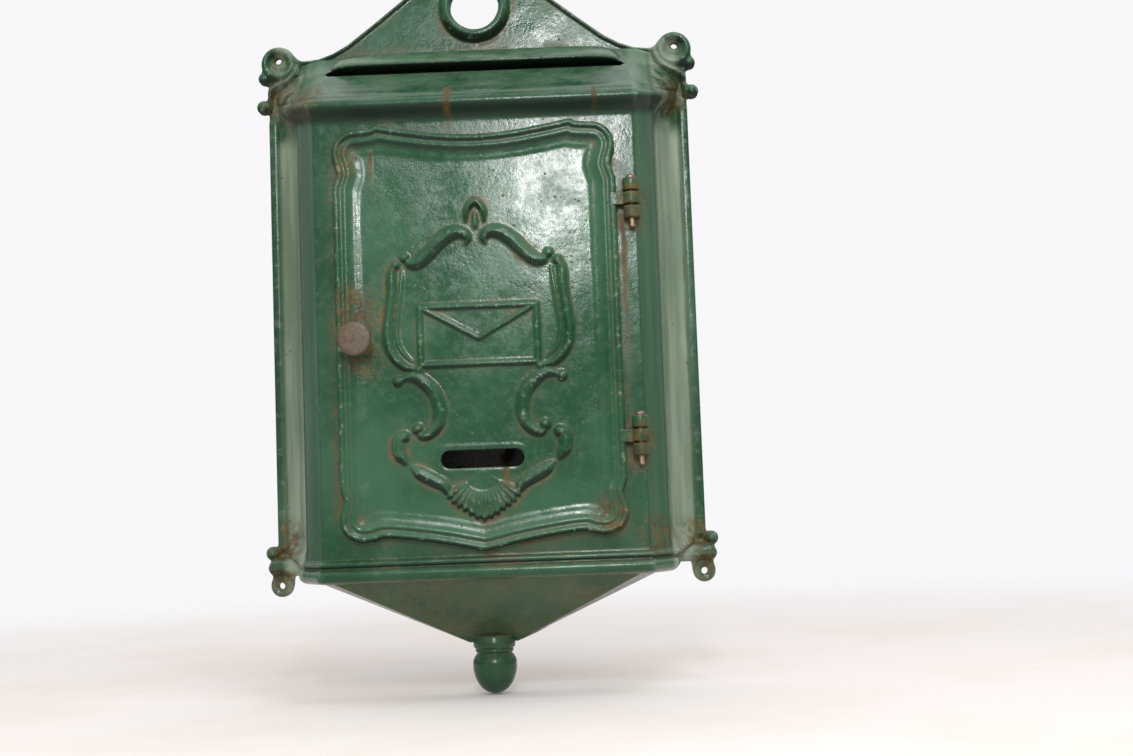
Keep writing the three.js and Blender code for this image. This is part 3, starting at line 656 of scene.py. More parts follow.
def green_paint(name, stains, runs_down, depth, hollow_dust_and_sheen, upward_dust, pitted):
    """Old glossy green paint with painted shade on faces that look down, rust in the recesses, chips on the
    edges, dust where it can lie and dust with a painted sheen in the coves.
    """
    c = tones()
    w, surface, _ = shader(name)
    surface.inputs["Specular IOR Level"].default_value = 0.32
    f = paint_fields(w)
    wear = w.use("Wear")
    rust = w.use("Rust", {"Dark": rgba(c.rust_dark), "Light": rgba(c.rust_light), "Scale": 150.0})
    specks = w.use("Specks", {"Scale": 420.0, "Amount": pitted})["Mask"]
    coat, shade = paint_coat(w, f, wear, depth)
    # The dust mask also carries the painted sheen of the coves
    dust = dust_and_sheen_mask(w, f, wear, hollow_dust_and_sheen, upward_dust)
    soil, stain = dirt_masks(w, f, wear, stains, runs_down)
    chips = w.times(w.times(wear["Edge"], w.span(f.small, 0.54, 0.68)), 0.42)
    pits = w.times(specks, w.span(f.chalky, 0.45, 0.60))
    seen = coat
    for mask, layer in (
        (dust, rgba(c.dust)), (soil, rgba(c.soil)), (stain, rust["Color"]), (chips, rgba(c.undercoat)),
        (w.times(pits, 0.6), rgba(c.rust_dark)),
    ):
        seen = w.blend(mask, seen, layer)
    rough = w.total(w.span(f.chalky, 0.34, 0.68, 0.10, 0.21), (
        (w.span(f.small, 0.35, 0.70), 0.10), (dust, 0.45), (stain, 0.45), (shade, 0.4), (pits, 0.3),
    ), clamp=True)
    height = w.total(w.times(f.uneven, 0.9), (
        (f.small, 0.15), (f.peel, 0.085), (f.fine, 0.012), (w.times(stain, rust["Grain"]), 0.25),
        (pits, -0.14),
    ))
    set_surface(w, surface, seen, rough, height, 0.6 * MM, wear["Normal"])


def rusty_metal(name, base, rust_share, metallic, scale):
    """Bare metal under patchy rust."""
    c = tones()
    w, surface, _ = shader(name)
    place = w.place()
    wear = w.use("Wear", {"Edge Radius": 0.4 * MM, "Recess Reach": 4 * MM})
    rust = w.use("Rust", {"Dark": rgba(c.rust_dark), "Light": rgba(c.rust_light), "Scale": scale})
    dark, light, rubbed = (rgba([min(1, v * k) for v in base]) for k in (0.72, 1.2, 1.5))
    patch = w.noise(place, scale * 0.55, 5.0, 0.65)
    mask = w.span(patch, 0.62 - rust_share * 0.4, 0.72 - rust_share * 0.3)
    mask = w.most(mask, w.times(wear["Recess"], 0.8))
    metal = w.blend(w.span(w.noise(place, scale * 6, 3.0), 0.3, 0.7), dark, light)
    seen = w.blend(mask, metal, rust["Color"])
    seen = w.blend(w.times(w.times(wear["Edge"], w.span(patch, 0.45, 0.6)), 0.35), seen, rubbed)
    w.link(w.span(mask, 0.0, 1.0, metallic, 0.05), surface.inputs["Metallic"])
    height = w.times(rust["Grain"], w.plus(mask, 0.25))
    set_surface(w, surface, seen, w.span(mask, 0.0, 1.0, 0.48, 0.85), height, 0.3 * MM, wear["Normal"])


# Shape of the casting, in millimetres

CREST_RADIUS, CREST_TURN = 28.6, math.degrees(math.atan2(0.79, 1))
EYE_Z, EYE_HOLE, EYE_RING = 166.5, 13.2, 19.4
EAR, EAR_RADIUS, UPPER_HOLE = (107.4, 138.9), 9.4, (107.8, 141.0)
LUG, LUG_RADIUS, HOLE_RADIUS = (111.9, -142.8), 5.9, 1.8
UPPER_KNOBS = ((115.6, 131.4, 3.2), (116.2, 115.6, 3.7))
LOWER_KNOBS = ((116.2, -125.6, 3.7), (115.6, -133.4, 3.3))
RIM_X, COVE_X, COVE_Y, FRONT_Y = 113.4, 107.5, -3.7, -56.0
ARRIS, FRONT_X = (92.6, -37.0), 81.2
DOOR_BACK, DOOR_FACE, DOOR_SIDE, DOOR_MIDDLE = 56.3, 59.3, 71.5, -19.0
HINGE_X, HINGE_Y, BORE = 79.0, -60.8, 1.7
HINGE_Z, KNUCKLE_GAP = (46.7, -72.6), 0.8
KNOB, KNOB_SEAT, SEAT_LIFT, SHANK_HOLE = (-60.5, -20.3), 5.5, 1.1, 3.2
SLOT = (0.0, -81.2, 41.5, 9.0)
BACK_SCREWS = ((-92.5, 100), (-92.5, -112), (92.5, 100), (92.5, -112))
# Underside of the hood, and how far the walls' back edges lie in front of the wall
HOOD_FOOT, WALL_BACK = 129.3, 0.8
# Axis of the drop in X and Y
DROP_AXIS = (0.0, -12.2)


def both_halves(half):
    """Closed outline from its right half, which runs from the top middle to the bottom middle."""
    left = [(-x, z) for x, z in reversed(half) if abs(x) > 1e-6]
    return np.array([*half, *left], float)


def plate_outline():
    """Plate with its pointed crest, without the ears."""
    half = arc(0, EYE_Z, CREST_RADIUS, 90, 90 - CREST_TURN, 25)
    half += [
        (39.6, 171.8), (56.6, 158.4), (70, 148.2), (78, 143.8), (86, 141), (93, 140.3), (98, 139.5),
        (RIM_X, 133), (RIM_X, -128), (RIM_X + 3.2, -130), (RIM_X + 3.2, -141), (106.4, -142), (105, -137.8),
        (99, -137.8), (84.5, -141.5), (62.4, -152.2), (39, -163.4), (23, -171.6), (14, -175.4), (0, -176.6),
    ]
    return both_halves(half)


def panel_outline():
    """Outline of the thin back panel."""
    return both_halves([
        (0, 116.2), (107.8, 116.2), (107.8, -134.6), (84, -136.8), (12.5, -170.4), (0, -170.4)])


def hollow_outline():
    """Where the plate ends inside the walls of the box."""
    return both_halves([
        (0, 113.7), (105.3, 113.7), (105.3, -127.2), (80.5, -128.5), (78, -134.8), (10.6, -166.8),
        (0, -166.8)])


def rebate_mesh():
    """Shallow recess that the back panel lies in."""
    outline = panel_outline()
    outline += np.where(outline > 0, 0.3, -0.3) * (np.abs(outline) > 1)
    return prism("rebate", outline, -1.0, 2.3)


def plate_edge(x, z):
    """Outline of the plate with its ears and knobs melted into it."""
    side = np.abs(x)
    field = outline_distance(x, z, plate_outline())
    spots = [(*EAR, EAR_RADIUS, 6.0), (*LUG, LUG_RADIUS, 2.0)]
    spots += [(*knob, 2.4) for knob in UPPER_KNOBS + LOWER_KNOBS]
    for cx, cz, radius, softness in spots:
        field = soft_min(field, np.hypot(side - cx, z - cz) - radius, softness)
    return field


def plate_inside(x, z):
    """Distance from the metal of the plate, negative in it."""
    side = np.abs(x)
    field = np.maximum(plate_edge(x, z), -outline_distance(x, z, hollow_outline()))
    for cx, cz, radius in ((0, EYE_Z, EYE_HOLE), (*UPPER_HOLE, HOLE_RADIUS), (*LUG, HOLE_RADIUS)):
        field = np.maximum(field, radius - np.hypot(side - cx, z - cz))
    return field


# Depths of the dished upper ear and of the lower lug, over the distance from their middles
EAR_AWAY, EAR_DEPTH = (0, 3.8, 5.1, 6, 7.3, 8.6, 9.6, 11.5), (5.1, 5.3, 5.9, 7.1, 7.7, 7.1, 4.6, 0)
LUG_AWAY, LUG_DEPTH = (0, 3.4, 4.2, 5.2, 6.4), (4.4, 4.8, 5.5, 4.9, 2.6)
DISH_RADIUS, LUG_DISH, HOLE_SINK, EDGE_ROUND = 7.3, 4.2, 3.6, 1.1
# Widths of the raised rims on the crest and at the sides, and the heights where they start and end
CREST_RIM, SIDE_RIM, CREST_FOOT, SIDE_TOP, SIDE_FOOT = 2.2, 3.2, 130, 109, -126
VOLUTE = (
    (96.4, 141.0, 1.2), (97.2, 136.4, 2.0), (99.6, 131.6, 2.4), (104.6, 128.2, 2.6), (110, 125.6, 2.6),
    (112.8, 121.2, 2.5), (112.4, 113.0, 2.0),
)


def plate_height(x, z):
    """How far the front of the plate stands out from the wall."""
    s = sizes()
    soft = s.fillet / MM
    side = np.abs(x)
    edge = -plate_edge(x, z)
    # Plate and its raised rims
    plate = s.plate / MM + waves(x, z, 0.06, 9.0)
    rim_lift = s.rim / MM - s.plate / MM
    crest = (1 - np.clip(edge / CREST_RIM, 0, 1) ** 3) * rim_lift * np.clip((z - CREST_FOOT) / 6, 0, 1)
    wide = np.clip((SIDE_TOP - z) / 3, 0, 1) * np.clip((z - SIDE_FOOT) / 3, 0, 1)
    flank = (1 - np.clip((edge - SIDE_RIM) / 2.6, 0, 1) ** 2) * rim_lift * wide * (side > 95)
    height = plate + np.maximum(crest, flank)
    # Ring round the hanging eye
    ring_middle, ring_half = (EYE_RING + EYE_HOLE - 2) / 2, (EYE_RING - EYE_HOLE + 2) / 2
    across = (np.hypot(x, z - EYE_Z) - ring_middle) / ring_half
    ring = 1 + 8 * np.sqrt(np.clip(1 - across ** 2, 0, 1)) - 4 * (np.abs(across) > 1)
    height = soft_max(height, ring, soft * 1.6)
    # Upper ear with its screw hole, its scroll and its knobs
    away = np.hypot(side - EAR[0], z - EAR[1])
    dish = np.interp(away, EAR_AWAY, EAR_DEPTH)
    height = np.where(away < DISH_RADIUS, dish, soft_max(height, dish, soft * 1.8))
    hole = np.hypot(side - UPPER_HOLE[0], z - UPPER_HOLE[1])
    sunk = HOLE_SINK + np.clip(hole - HOLE_RADIUS, 0, 2)
    height = np.where(hole < HOLE_SINK, np.minimum(height, sunk), height)
    height = soft_max(height, s.plate / MM + ribbon(side, z, VOLUTE, 4.4), soft * 1.6)
    for cx, cz, radius in UPPER_KNOBS:
        height = soft_max(height, 3.4 + dome(side, z, (cx, cz), radius + 0.4, radius), soft * 1.5)
    # Bar, lug and knobs at the foot
    bar = rounded_box(side, z, 90, 117.0, -136.4, -128.6, 2.6)
    bar = 9.4 - np.clip(bar + 2.4, 0, 8) ** 2 * 0.5 + waves(x, z, 0.2, 3.0)
    height = soft_max(height, bar, soft * 1.6)
    lug = np.hypot(side - LUG[0], z - LUG[1])
    boss = np.interp(lug, LUG_AWAY, LUG_DEPTH)
    height = np.where(lug < LUG_DISH, boss, soft_max(height, boss, soft))
    for cx, cz, radius in LOWER_KNOBS:
        height = soft_max(height, 3.4 + dome(side, z, (cx, cz), radius + 0.4, radius + 1.2), soft * 1.5)
    # Rounded outer edge
    fall = EDGE_ROUND - np.clip(edge, 0, EDGE_ROUND)
    return np.maximum(height - (EDGE_ROUND - np.sqrt(EDGE_ROUND ** 2 - fall ** 2)), 1.2)


# z, swell of the moulding, fill of the cove, rise toward the wall, and rim where it isn't COVE_X
LOWER_LEVELS = (
    (-141, -0.5, 0.6, 0, 95), (-140.4, 1.6, 0.6, 0, 96), (-138.6, 3.9, 0.6, 0, 97.6),
    (-136.6, 4.4, 0.6, 0, 98), (-134.8, 3.6, 0.6, 0, 98), (-133.7, 1.5, 0.6, 0, 98),
    (-133, 1.4, 0.6, 0, 98.6), (-132.4, 2.8, 0.6, 0, 100), (-131, 3.2, 0.6, 0, 102), (-130, 2.2, 0.6, 0, 104),
    (-129.4, 0.2, 0.6, 0, 105.5), (-128, 0, 0.52, 0), (-126, 0, 0.4, 0), (-123.5, 0, 0.22, 0),
    (-121, 0, 0.08, 0), (-118, 0, 0, 0),
)
UPPER_LEVELS = (
    (90, 0, 0, 4), (91.4, 0.1, 0.03, 8), (93, 0.6, 0.12, 11), (94.8, 1.6, 0.28, 12), (96.4, 3.3, 0.4, 12),
    (98.2, 5.3, 0.5, 12), (100.2, 6, 0.52, 12), (102.2, 5.3, 0.54, 12), (103.4, 3.6, 0.54, 12),
    (103.8, 2, 0.54, 12),
)
# z, rim, arris x and y, front x and y, fill, rise
ROOF_LEVELS = (
    (107, 109, 95, -33.5, 81.6, -53.5, 0.54, 12), (112, 109, 95, -27.5, 81.2, -44.5, 0.52, 11),
    (118, 107.6, 93.6, -20.5, 80.4, -35.2, 0.5, 9), (125.1, 104, 91, -13.5, 79, -25.6, 0.5, 7),
    (133, 98.5, 87, -8.5, 76, -14, 0.5, 4), (140, 93, 84, -5, 70, -6, 0.5, 0),
)


def wall_row(level, inset=0.0):
    """Row for plan_ring from a level of the walls, moved inward by the inset."""
    z, swell, fill, rise, rim = (*level, COVE_X)[:5]
    return (
        z, rim - inset * 1.2, ARRIS[0] + swell * 0.9 - inset * 1.1, ARRIS[1] - swell * 0.35 + inset * 0.4,
        FRONT_X + swell * 0.6 - inset * 0.7, FRONT_Y - swell + inset, fill, rise,
    )


def roof_row(level, inset=0.0):
    """Row for plan_ring from a level of the roof, moved inward by the inset."""
    z, rim, ax, ay, fx, fy, fill, rise = level
    return (
        z, rim - inset * 1.2, ax - inset * 1.1, ay + inset * 0.8, fx - inset * 0.5, fy + inset * 1.2,
        fill, rise,
    )


def eased_rows(rows, step):
    """Rows in between, on a curve that never overshoots the given ones."""
    table = np.array(rows, float)
    z = table[:, 0]
    gap = np.diff(z)
    slope = np.diff(table, axis=0) / gap[:, None]
    tangent = np.zeros_like(table)
    w0, w1 = (2 * gap[1:] + gap[:-1])[:, None], (gap[1:] + 2 * gap[:-1])[:, None]
    same = slope[1:] * slope[:-1] > 0
    with np.errstate(divide="ignore", invalid="ignore"):
        mean = (w0 + w1) / (w0 / slope[:-1] + w1 / slope[1:])
    tangent[1:-1] = np.where(same, mean, 0)
    tangent[0], tangent[-1] = slope[0], slope[-1]
    result = []
    for i, width in enumerate(gap):
        count = int(np.clip(math.ceil(width / step), 2, 14))
        for k in range(count):
            t = k / count
            a, b = table[i], table[i + 1]
            result.append(
                a * (2 * t ** 3 - 3 * t ** 2 + 1) + b * (3 * t ** 2 - 2 * t ** 3)
                + width * (tangent[i] * (t ** 3 - 2 * t ** 2 + t) + tangent[i + 1] * (t ** 3 - t ** 2)))
    result.append(table[-1])
    return result


def plan_ring(row, steps, flange):
    """Plan of the casting at one height, with a hollow or filled cove at each side."""
    z, rim, ax, ay, fx, fy, fill, rise = row
    right = [(rim + flange, 0.0)]
    if flange:
        right.append((rim + flange, COVE_Y + 0.5))
    for i in range(steps, -1, -1):
        t = math.pi / 2 * i / steps
        width, depth = rim - ax, COVE_Y - ay
        hollow = (rim - width * math.cos(t), ay + depth * math.sin(t))
        full = (ax + width * math.sin(t), COVE_Y - depth * math.cos(t))
        right.append((hollow[0] + (full[0] - hollow[0]) * fill, hollow[1] + (full[1] - hollow[1]) * fill))
    for k in range(1, 5):
        right.append((ax + (fx - ax) * k / 4, ay + (fy - ay) * k / 4))
    front = [(fx * (1 - k / 12), fy) for k in range(1, 12)]
    half = [*right, *front]
    ring = [*half, (0.0, fy), *[(-x, y) for x, y in reversed(half)]]
    return np.array([(x, y, z + rise * (y - fy) / -FRONT_Y) for x, y in ring])


def door_half():
    """Right half of the door's outline, from the top middle round to the bottom middle."""
    return [
        (0, 82.8), (12, 83.3), (24, 84.6), (34, 86.3), (43, 87.9), (49.6, 89.2), (52, 87.6),
        *arc(59.6, 75, 12, 92, -14, 22),
        (69.8, 67.6), (69.2, 65), (70.2, 61.6), (DOOR_SIDE, 58), (DOOR_SIDE, -93), (70.2, -97), (69.2, -99.6),
        (70.2, -102.8), *arc(59.8, -109, 12, 14, -94, 22),
        (54.5, -120.4), (50.5, -119.1), (46, -119.2), (36, -120.4), (26, -121.9), (16, -123.7), (7, -125.7),
        (0, -127.2),
    ]


TOP_SCROLL = (
    (4.8, 26.8, 1.9), (4, 30, 2.4), (7.4, 32.8, 3.0), (12.6, 32.2, 3.6), (18.2, 28.4, 3.7), (23.6, 22.8, 3.6),
    (28.8, 18.2, 3.3), (33.4, 17.6, 2.9), (36, 21.2, 2.2),
)
SIDE_RIB = (
    (40.6, 17.6, 2.3), (42.6, 13, 2.7), (43, 3, 2.6), (44.6, -9, 2.6), (45.6, -18.6, 2.6), (43.4, -27.6, 2.5),
    (37.6, -34, 2.3), (31, -35.6, 2.1),
)
SIDE_RIB_INNER = (
    (37.4, 14, 1.1), (38.6, 4, 1.2), (40.4, -9, 1.2), (41.2, -18, 1.2), (39, -26, 1.2), (33.6, -31.6, 1.1),
)
SIDE_SCROLL = (
    (41.4, -41, 2.4), (33, -39.4, 3.1), (25.8, -44.2, 3.5), (21.2, -52, 3.6), (20.8, -60.4, 3.4),
    (24, -66.4, 2.9), (29.4, -69.2, 2.4), (32.6, -66.4, 2.0),
)
FOOT_LOBE = ((37.6, -67.4, 2.6), (41.0, -71.0, 3.5), (41.4, -76.4, 3.4), (38.2, -82.4, 2.5))
FOOT_RIBBON = (
    (35.4, -84.4, 2.4), (30.6, -87.8, 3.2), (24.4, -91.2, 3.2), (19.4, -94.2, 2.9), (16.4, -99.4, 2.3),
)
BUD = ((-4.6, 38, 1.3), (-4, 44, 1.7), (0, 48.4, 1.9), (4, 44, 1.7), (4.6, 38, 1.3))
BUD_STEM = ((0, 43, 1.0), (0, 38, 1.5), (0, 34.4, 0.9))
# x, z, radius and height of the round ends of the scrolls
SCROLL_ENDS = (
    (30.4, -36, 2.7, 2.7), (31.8, -65.4, 2.9, 3.2), (36.2, 20.8, 2.6, 2.8),
    (40.6, 17.2, 2.5, 2.8), (41.0, -41.4, 2.9, 3.0), (38.6, -69.0, 2.9, 3.2),
)
# Spread is in radians to each side of straight down
SHELL_CENTRE, SHELL_RIBS, SHELL_REACH, SHELL_SPREAD = (0, -86.5), 13, 21.2, 1.0
# Moulding round the door, from its edge inward, in shares of its width and height
BORDER_ACROSS = (0, 0.05, 0.16, 0.32, 0.48, 0.66, 0.80, 0.92, 1.04, 1.18, 1.34, 1.62, 1.98, 2.4, 3.2)
BORDER_HEIGHT = (0.1, 0.42, 0.80, 1.0, 0.97, 0.66, 0.52, 0.58, 0.74, 0.78, 0.68, 0.40, 0.14, 0.0, -1.0)


def door_edge(x, z):
    """Distance to the door's outline, negative inside it."""
    return outline_distance(x, z, both_halves(door_half()))


def slot_edge(x, z):
    """Distance to the outline of the viewing slot, negative inside it."""
    cx, cz, long, high = SLOT
    return rounded_box(x, z, cx - long / 2, cx + long / 2, cz - high / 2, cz + high / 2, high / 2 - 0.05)


def door_inside(x, z):
    """Distance from the metal of the door, negative in it."""
    field = np.maximum(door_edge(x, z), -slot_edge(x, z))
    return np.maximum(field, SHANK_HOLE - np.hypot(x - KNOB[0], z - KNOB[1]))


def shell_relief(x, z, height):
    """Fan of ribs below the viewing slot."""
    away = np.hypot(x - SHELL_CENTRE[0], z - SHELL_CENTRE[1])
    angle = np.arctan2(x - SHELL_CENTRE[0], SHELL_CENTRE[1] - z)
    rib = 0.5 + 0.5 * np.cos(math.pi * SHELL_RIBS * angle / SHELL_SPREAD)
    reach = SHELL_REACH + 3.2 * np.clip(1 - np.abs(angle) / 0.5, 0, 1) ** 1.3 + rib * 0.8
    body = (1.3 + 0.9 * rib) * np.clip((away - 10.5) / 6, 0, 1) ** 0.8 * height / 2.6
    outside = np.maximum(away - reach, (np.abs(angle) - SHELL_SPREAD) * away)
    return np.maximum(body - np.maximum(outside, -0.6) * 1.6 - 0.6, AWAY_FROM_FORM)


def envelope_relief(x, z):
    """Plain envelope in relief, with its flap."""
    half, low, high, fold, line = 31.0, -35.5, -3.0, -21.0, 1.45
    box = rounded_box(x, z, -half, half, low, high, 1.8)
    body = 0.9 - np.maximum(box + 0.5, 0) * 1.6
    border = 2.3 - (np.abs(box + 1.8) / line) ** 2.2
    flap_z = fold + (high - fold - 1.2) * np.abs(x) / (half - 1.2)
    off = np.abs(z - flap_z) * math.cos(math.atan2(high - fold, half))
    flap = np.where(box < -0.4, 2.2 - (off / line) ** 2.2, AWAY_FROM_FORM)
    return np.maximum(np.maximum(body, border), np.maximum(flap, AWAY_FROM_FORM))


def door_height(x, z):
    """How far the front of the door stands out from the wall."""
    s = sizes()
    soft = s.fillet / MM
    relief = s.relief / MM
    side = np.abs(x)
    swell = np.cos(np.clip(x / 71, -1, 1) * 1.5) * np.cos(np.clip((z - DOOR_MIDDLE) / 105, -1, 1) * 1.5)
    field = s.crown / MM * swell + waves(x, z, 0.10, 17.0)
    for path, height in (
        (TOP_SCROLL, relief), (SIDE_RIB, relief), (SIDE_RIB_INNER, 1.5), (SIDE_SCROLL, relief),
        (FOOT_LOBE, relief), (FOOT_RIBBON, relief),
    ):
        field = soft_max(field, ribbon(side, z, path, height), soft)
    field = soft_max(field, ribbon(x, z, BUD, relief), soft)
    field = soft_max(field, ribbon(x, z, BUD_STEM, 1.9), soft)
    for cx, cz, radius, height in SCROLL_ENDS:
        field = soft_max(field, dome(side, z, (cx, cz), radius, height), soft)
    field = soft_max(field, shell_relief(x, z, relief), soft * 0.6)
    field = soft_max(field, envelope_relief(x, z), soft * 0.5)
    lip = 0.7 - (np.abs(slot_edge(x, z) - 1.6) / 2.0) ** 2 * 0.8
    field = soft_max(field, lip, soft * 0.5)
    across = -door_edge(x, z) / (s.border_width / MM)
    border = np.interp(across, BORDER_ACROSS, BORDER_HEIGHT) * s.border / MM
    field = soft_max(field, border, soft)
    seat = np.hypot(x - KNOB[0], z - KNOB[1])
    round_seat = soft_max(field, SEAT_LIFT - (seat - KNOB_SEAT) * 1.2, soft * 0.6)
    return DOOR_FACE + np.where(seat < KNOB_SEAT, SEAT_LIFT, round_seat)


def taken(piece):
    """Mesh of a piece that is no longer needed."""
    mesh = piece.data
    bpy.data.objects.remove(piece)
    return mesh


def shape_plate():
    """Wall plate with its crest, ears and lugs, let in at the back for the panel."""
    s = sizes()
    mesh = relief_solid("plate", plate_inside, plate_height, 0.0, (-122, -180), (122, 197), s.cell / MM)
    return taken(shaped(link_mesh("plate", mesh), [rebate_mesh()], "DIFFERENCE"))


def hood_mesh():
    """Hood over the letter slit, shrunk toward a point at both ends."""
    profile = [
        (-1, 143), (-5, 142.4), (-10, 141), (-15, 139), (-19.5, 136.6), (-23.5, 134.1), (-26.2, 132.2),
        (-27.2, 131.2), (-27.5, 130.4), (-27.2, 129.7), (-26, HOOD_FOOT), (-20, HOOD_FOOT), (-1, HOOD_FOOT),
    ]
    ends = [(-78.6, 0.5), (-77.4, 0.64), (-75.4, 0.77), (-72.4, 0.87), (-68, 0.94), (-62, 0.985), (-54, 1.0)]
    stations = ends + [(0.0, 1.0)] + [(-x, share) for x, share in reversed(ends)]
    return ring_loft("hood", [
        np.array([(x, y * share, HOOD_FOOT + (z - HOOD_FOOT) * share) for y, z in profile])
        for x, share in stations])


def hopper_mesh(corners):
    """Smallest solid over the corners and their mirror images."""
    work = bmesh.new()
    for x, y, z in corners:
        for side in (-1, 1):
            work.verts.new((side * x * MM, y * MM, z * MM))
    bmesh.ops.convex_hull(work, input=work.verts)
    mesh = bpy.data.meshes.new("hopper")
    work.to_mesh(mesh)
    work.free()
    tidy_mesh(mesh)
    return mesh


def drop_mesh():
    """Egg-shaped drop on its neck; the profile lists radius and height."""
    middle, radius = -186.5, 11.5
    profile = [
        (0, -172), (9.8, -172), (10.7, -174.4), (11.1, -176.2), (10.7, -177.8), (9.8, -178.6), (10.0, -179.6)]
    for a in np.radians(np.linspace(-38, 88, 22)):
        blunt, length_down = (0.9, 15.2) if a > 0 else (1, 9)
        profile.append((radius * math.cos(a) ** blunt, middle - length_down * math.sin(a)))
    profile.append((0, middle - 15.2))
    return turned("drop", profile, DROP_AXIS, "Z", steps=56)


def cavity_meshes():
    """Room inside the walls, the throat behind the letter slit and the inside of the hopper."""
    inset = sizes().wall / MM
    rows = [wall_row(row, inset) for row in (
        (-127.6, 0, 0.5, 0), (-122, 0, 0.2, 0), (-116, 0, 0, 0), (86, 0, 0, 4), (92, 0, 0.2, 10),
        (97, 0, 0.5, 12))]
    rows += [roof_row((row[0] - 3, *row[1:]), inset) for row in ROOF_LEVELS[:2]]
    rings = [plan_ring(row, 10, 0.0) for row in rows]
    for ring in rings:
        ring[ring[:, 1] == 0, 1] = 1.0
    main = ring_loft("cavity", rings)
    throat = [(-4, 100), (-4, 132.4), (-11, 132.4), (-21.6, 124.4), (-32, 113), (-40, 100)]
    channel = ring_loft("throat", [np.array([(x, y, z) for y, z in throat]) for x in (-77, 77)])
    inner = hopper_mesh([
        (75, FRONT_Y + 5, -127), (84, ARRIS[1] + 4, -127), (82, 1, -127), (79.5, 1, -134.4),
        (75, FRONT_Y + 5, -135), (10.6, 1, -168.2), (9.6, -10.4, -170.4)])
    return [main, channel, inner]


def corner_points(x0, x1, z0, z1, radius, steps):
    """Outline of an upright rectangle with round corners."""
    points = []
    for cx, cz, start in (
        (x1 - radius, z1 - radius, 0), (x0 + radius, z1 - radius, 90),
        (x0 + radius, z0 + radius, 180), (x1 - radius, z0 + radius, 270),
    ):
        points += arc(cx, cz, radius, start, start + 90, steps + 1)
    return points


def shape_walls():
    """Body, roof, hood, hopper and drop of the casting, hollow and with its openings."""
    s = sizes()
    rows = [wall_row(row) for row in LOWER_LEVELS + UPPER_LEVELS] + [roof_row(row) for row in ROOF_LEVELS]
    rings = [plan_ring(row, s.cove_steps, 1.6) for row in eased_rows(rows, 0.8)]
    for ring in rings:
        ring[:, 1] = np.minimum(ring[:, 1], -WALL_BACK)
    piece = link_mesh("walls", ring_loft("walls", rings))
    outer = hopper_mesh([
        (78.5, FRONT_Y + 1.2, -140), (88, ARRIS[1] + 1, -140), (86, -0.5, -140), (84.5, -0.5, -141.4),
        (13.5, -0.5, -175.2), (12.5, -13.5, -175.2)])
    shaped(piece, [hood_mesh(), outer, drop_mesh()], "UNION")
    slit = [(-80, 127.15), (-77.5, 125), (77.5, 125), (80, 127.15), (77.5, HOOD_FOOT), (-77.5, HOOD_FOOT)]
    cuts = cavity_meshes() + [
        rebate_mesh(),
        prism("opening", corner_points(-66, 66, -112, 77, radius=7, steps=8), 40.0, 60.0),
        prism("slit", slit, 12.0, 50.0),
    ]
    shaped(piece, cuts, "DIFFERENCE")
    boss, bore = [(0, 2.4), (4.6, 2.4), (4.6, 13.4), (0, 13.4)], [(0, -1), (2, -1), (2, 11), (0, 11)]
    for screw in BACK_SCREWS:
        shaped(piece, [turned("boss", boss, screw, "Y", steps=28)], "UNION")
        shaped(piece, [turned("bore", bore, screw, "Y", steps=24)], "DIFFERENCE")
    mesh = taken(piece)
    tidy_mesh(mesh, merge=2e-6)
    smooth_faces(mesh, degrees=32)
    return mesh


def knuckle_tree():
    """Geometry Nodes: hinge knuckles in a row along the pin."""
    w, given, out = group("Hinge knuckles", [
        ("Count", "NodeSocketInt", 2), ("First", FLOAT, 0.0), ("Pitch", FLOAT, 0.014),
        ("Length", FLOAT, 0.0062), ("Radius", FLOAT, 0.0042), ("Bore", FLOAT, BORE * MM),
        ("Arm Start", VECTOR, (0.0, 0.0, 0.0)), ("Arm Size", VECTOR, (0.01, 0.01, 0.005)),
        ("Axis", VECTOR, (HINGE_X * MM, HINGE_Y * MM, 0.0)),
        ("Material", "NodeSocketMaterial", None),
    ], [("Geometry", "NodeSocketGeometry")], "GeometryNodeTree")
    middle = w.times(w.plus(given["Radius"], given["Bore"]), 0.5)
    width = w.minus(given["Radius"], given["Bore"])
    path = w.first("GeometryNodeCurvePrimitiveCircle", {"Resolution": 40, "Radius": middle})
    section = w.first(
        "GeometryNodeCurvePrimitiveQuadrilateral", {"Width": width, "Height": given["Length"]})
    worn = w.first(
        "GeometryNodeFilletCurve", {"Curve": section, "Count": 4, "Radius": 0.7 * MM}, mode="POLY")
    tube = w.first("GeometryNodeCurveToMesh", {"Curve": path, "Profile Curve": worn})
    arm = w.first("GeometryNodeMeshCube", {
        "Size": given["Arm Size"], "Vertices X": 3, "Vertices Y": 3, "Vertices Z": 3})
    moved = w.first("GeometryNodeTransform", {"Geometry": arm, "Translation": given["Arm Start"]})
    whole = w.put("GeometryNodeJoinGeometry")
    for part in (tube, moved):
        w.link(part, whole.inputs[0])
    axis = w.parts(given["Axis"])
    start = w.first("ShaderNodeCombineXYZ", {"X": axis["X"], "Y": axis["Y"], "Z": given["First"]})
    step = w.first("ShaderNodeCombineXYZ", {"Z": given["Pitch"]})
    row = w.first("GeometryNodeMeshLine", {
        "Count": given["Count"], "Start Location": start, "Offset": step}, mode="OFFSET")
    copies = w.first("GeometryNodeInstanceOnPoints", {"Points": row, "Instance": whole.outputs[0]})
    real = w.first("GeometryNodeRealizeInstances", {"Geometry": copies})
    coated = w.first("GeometryNodeSetMaterial", {"Geometry": real, "Material": given["Material"]})
    w.link(coated, out[0])
    return w.tree


def knuckles(name, tree, material, **values):
    """Mesh made by the knuckle tree with the given inputs."""
    piece = link_mesh(name, bpy.data.meshes.new(name))
    change = piece.modifiers.new("knuckles", "NODES")
    change.node_group = tree
    for item in tree.interface.items_tree:
        if item.in_out == "INPUT" and item.name in values:
            change[item.identifier] = values[item.name]
        if item.in_out == "INPUT" and item.name == "Material":
            change[item.identifier] = material
    return taken(bake(piece))


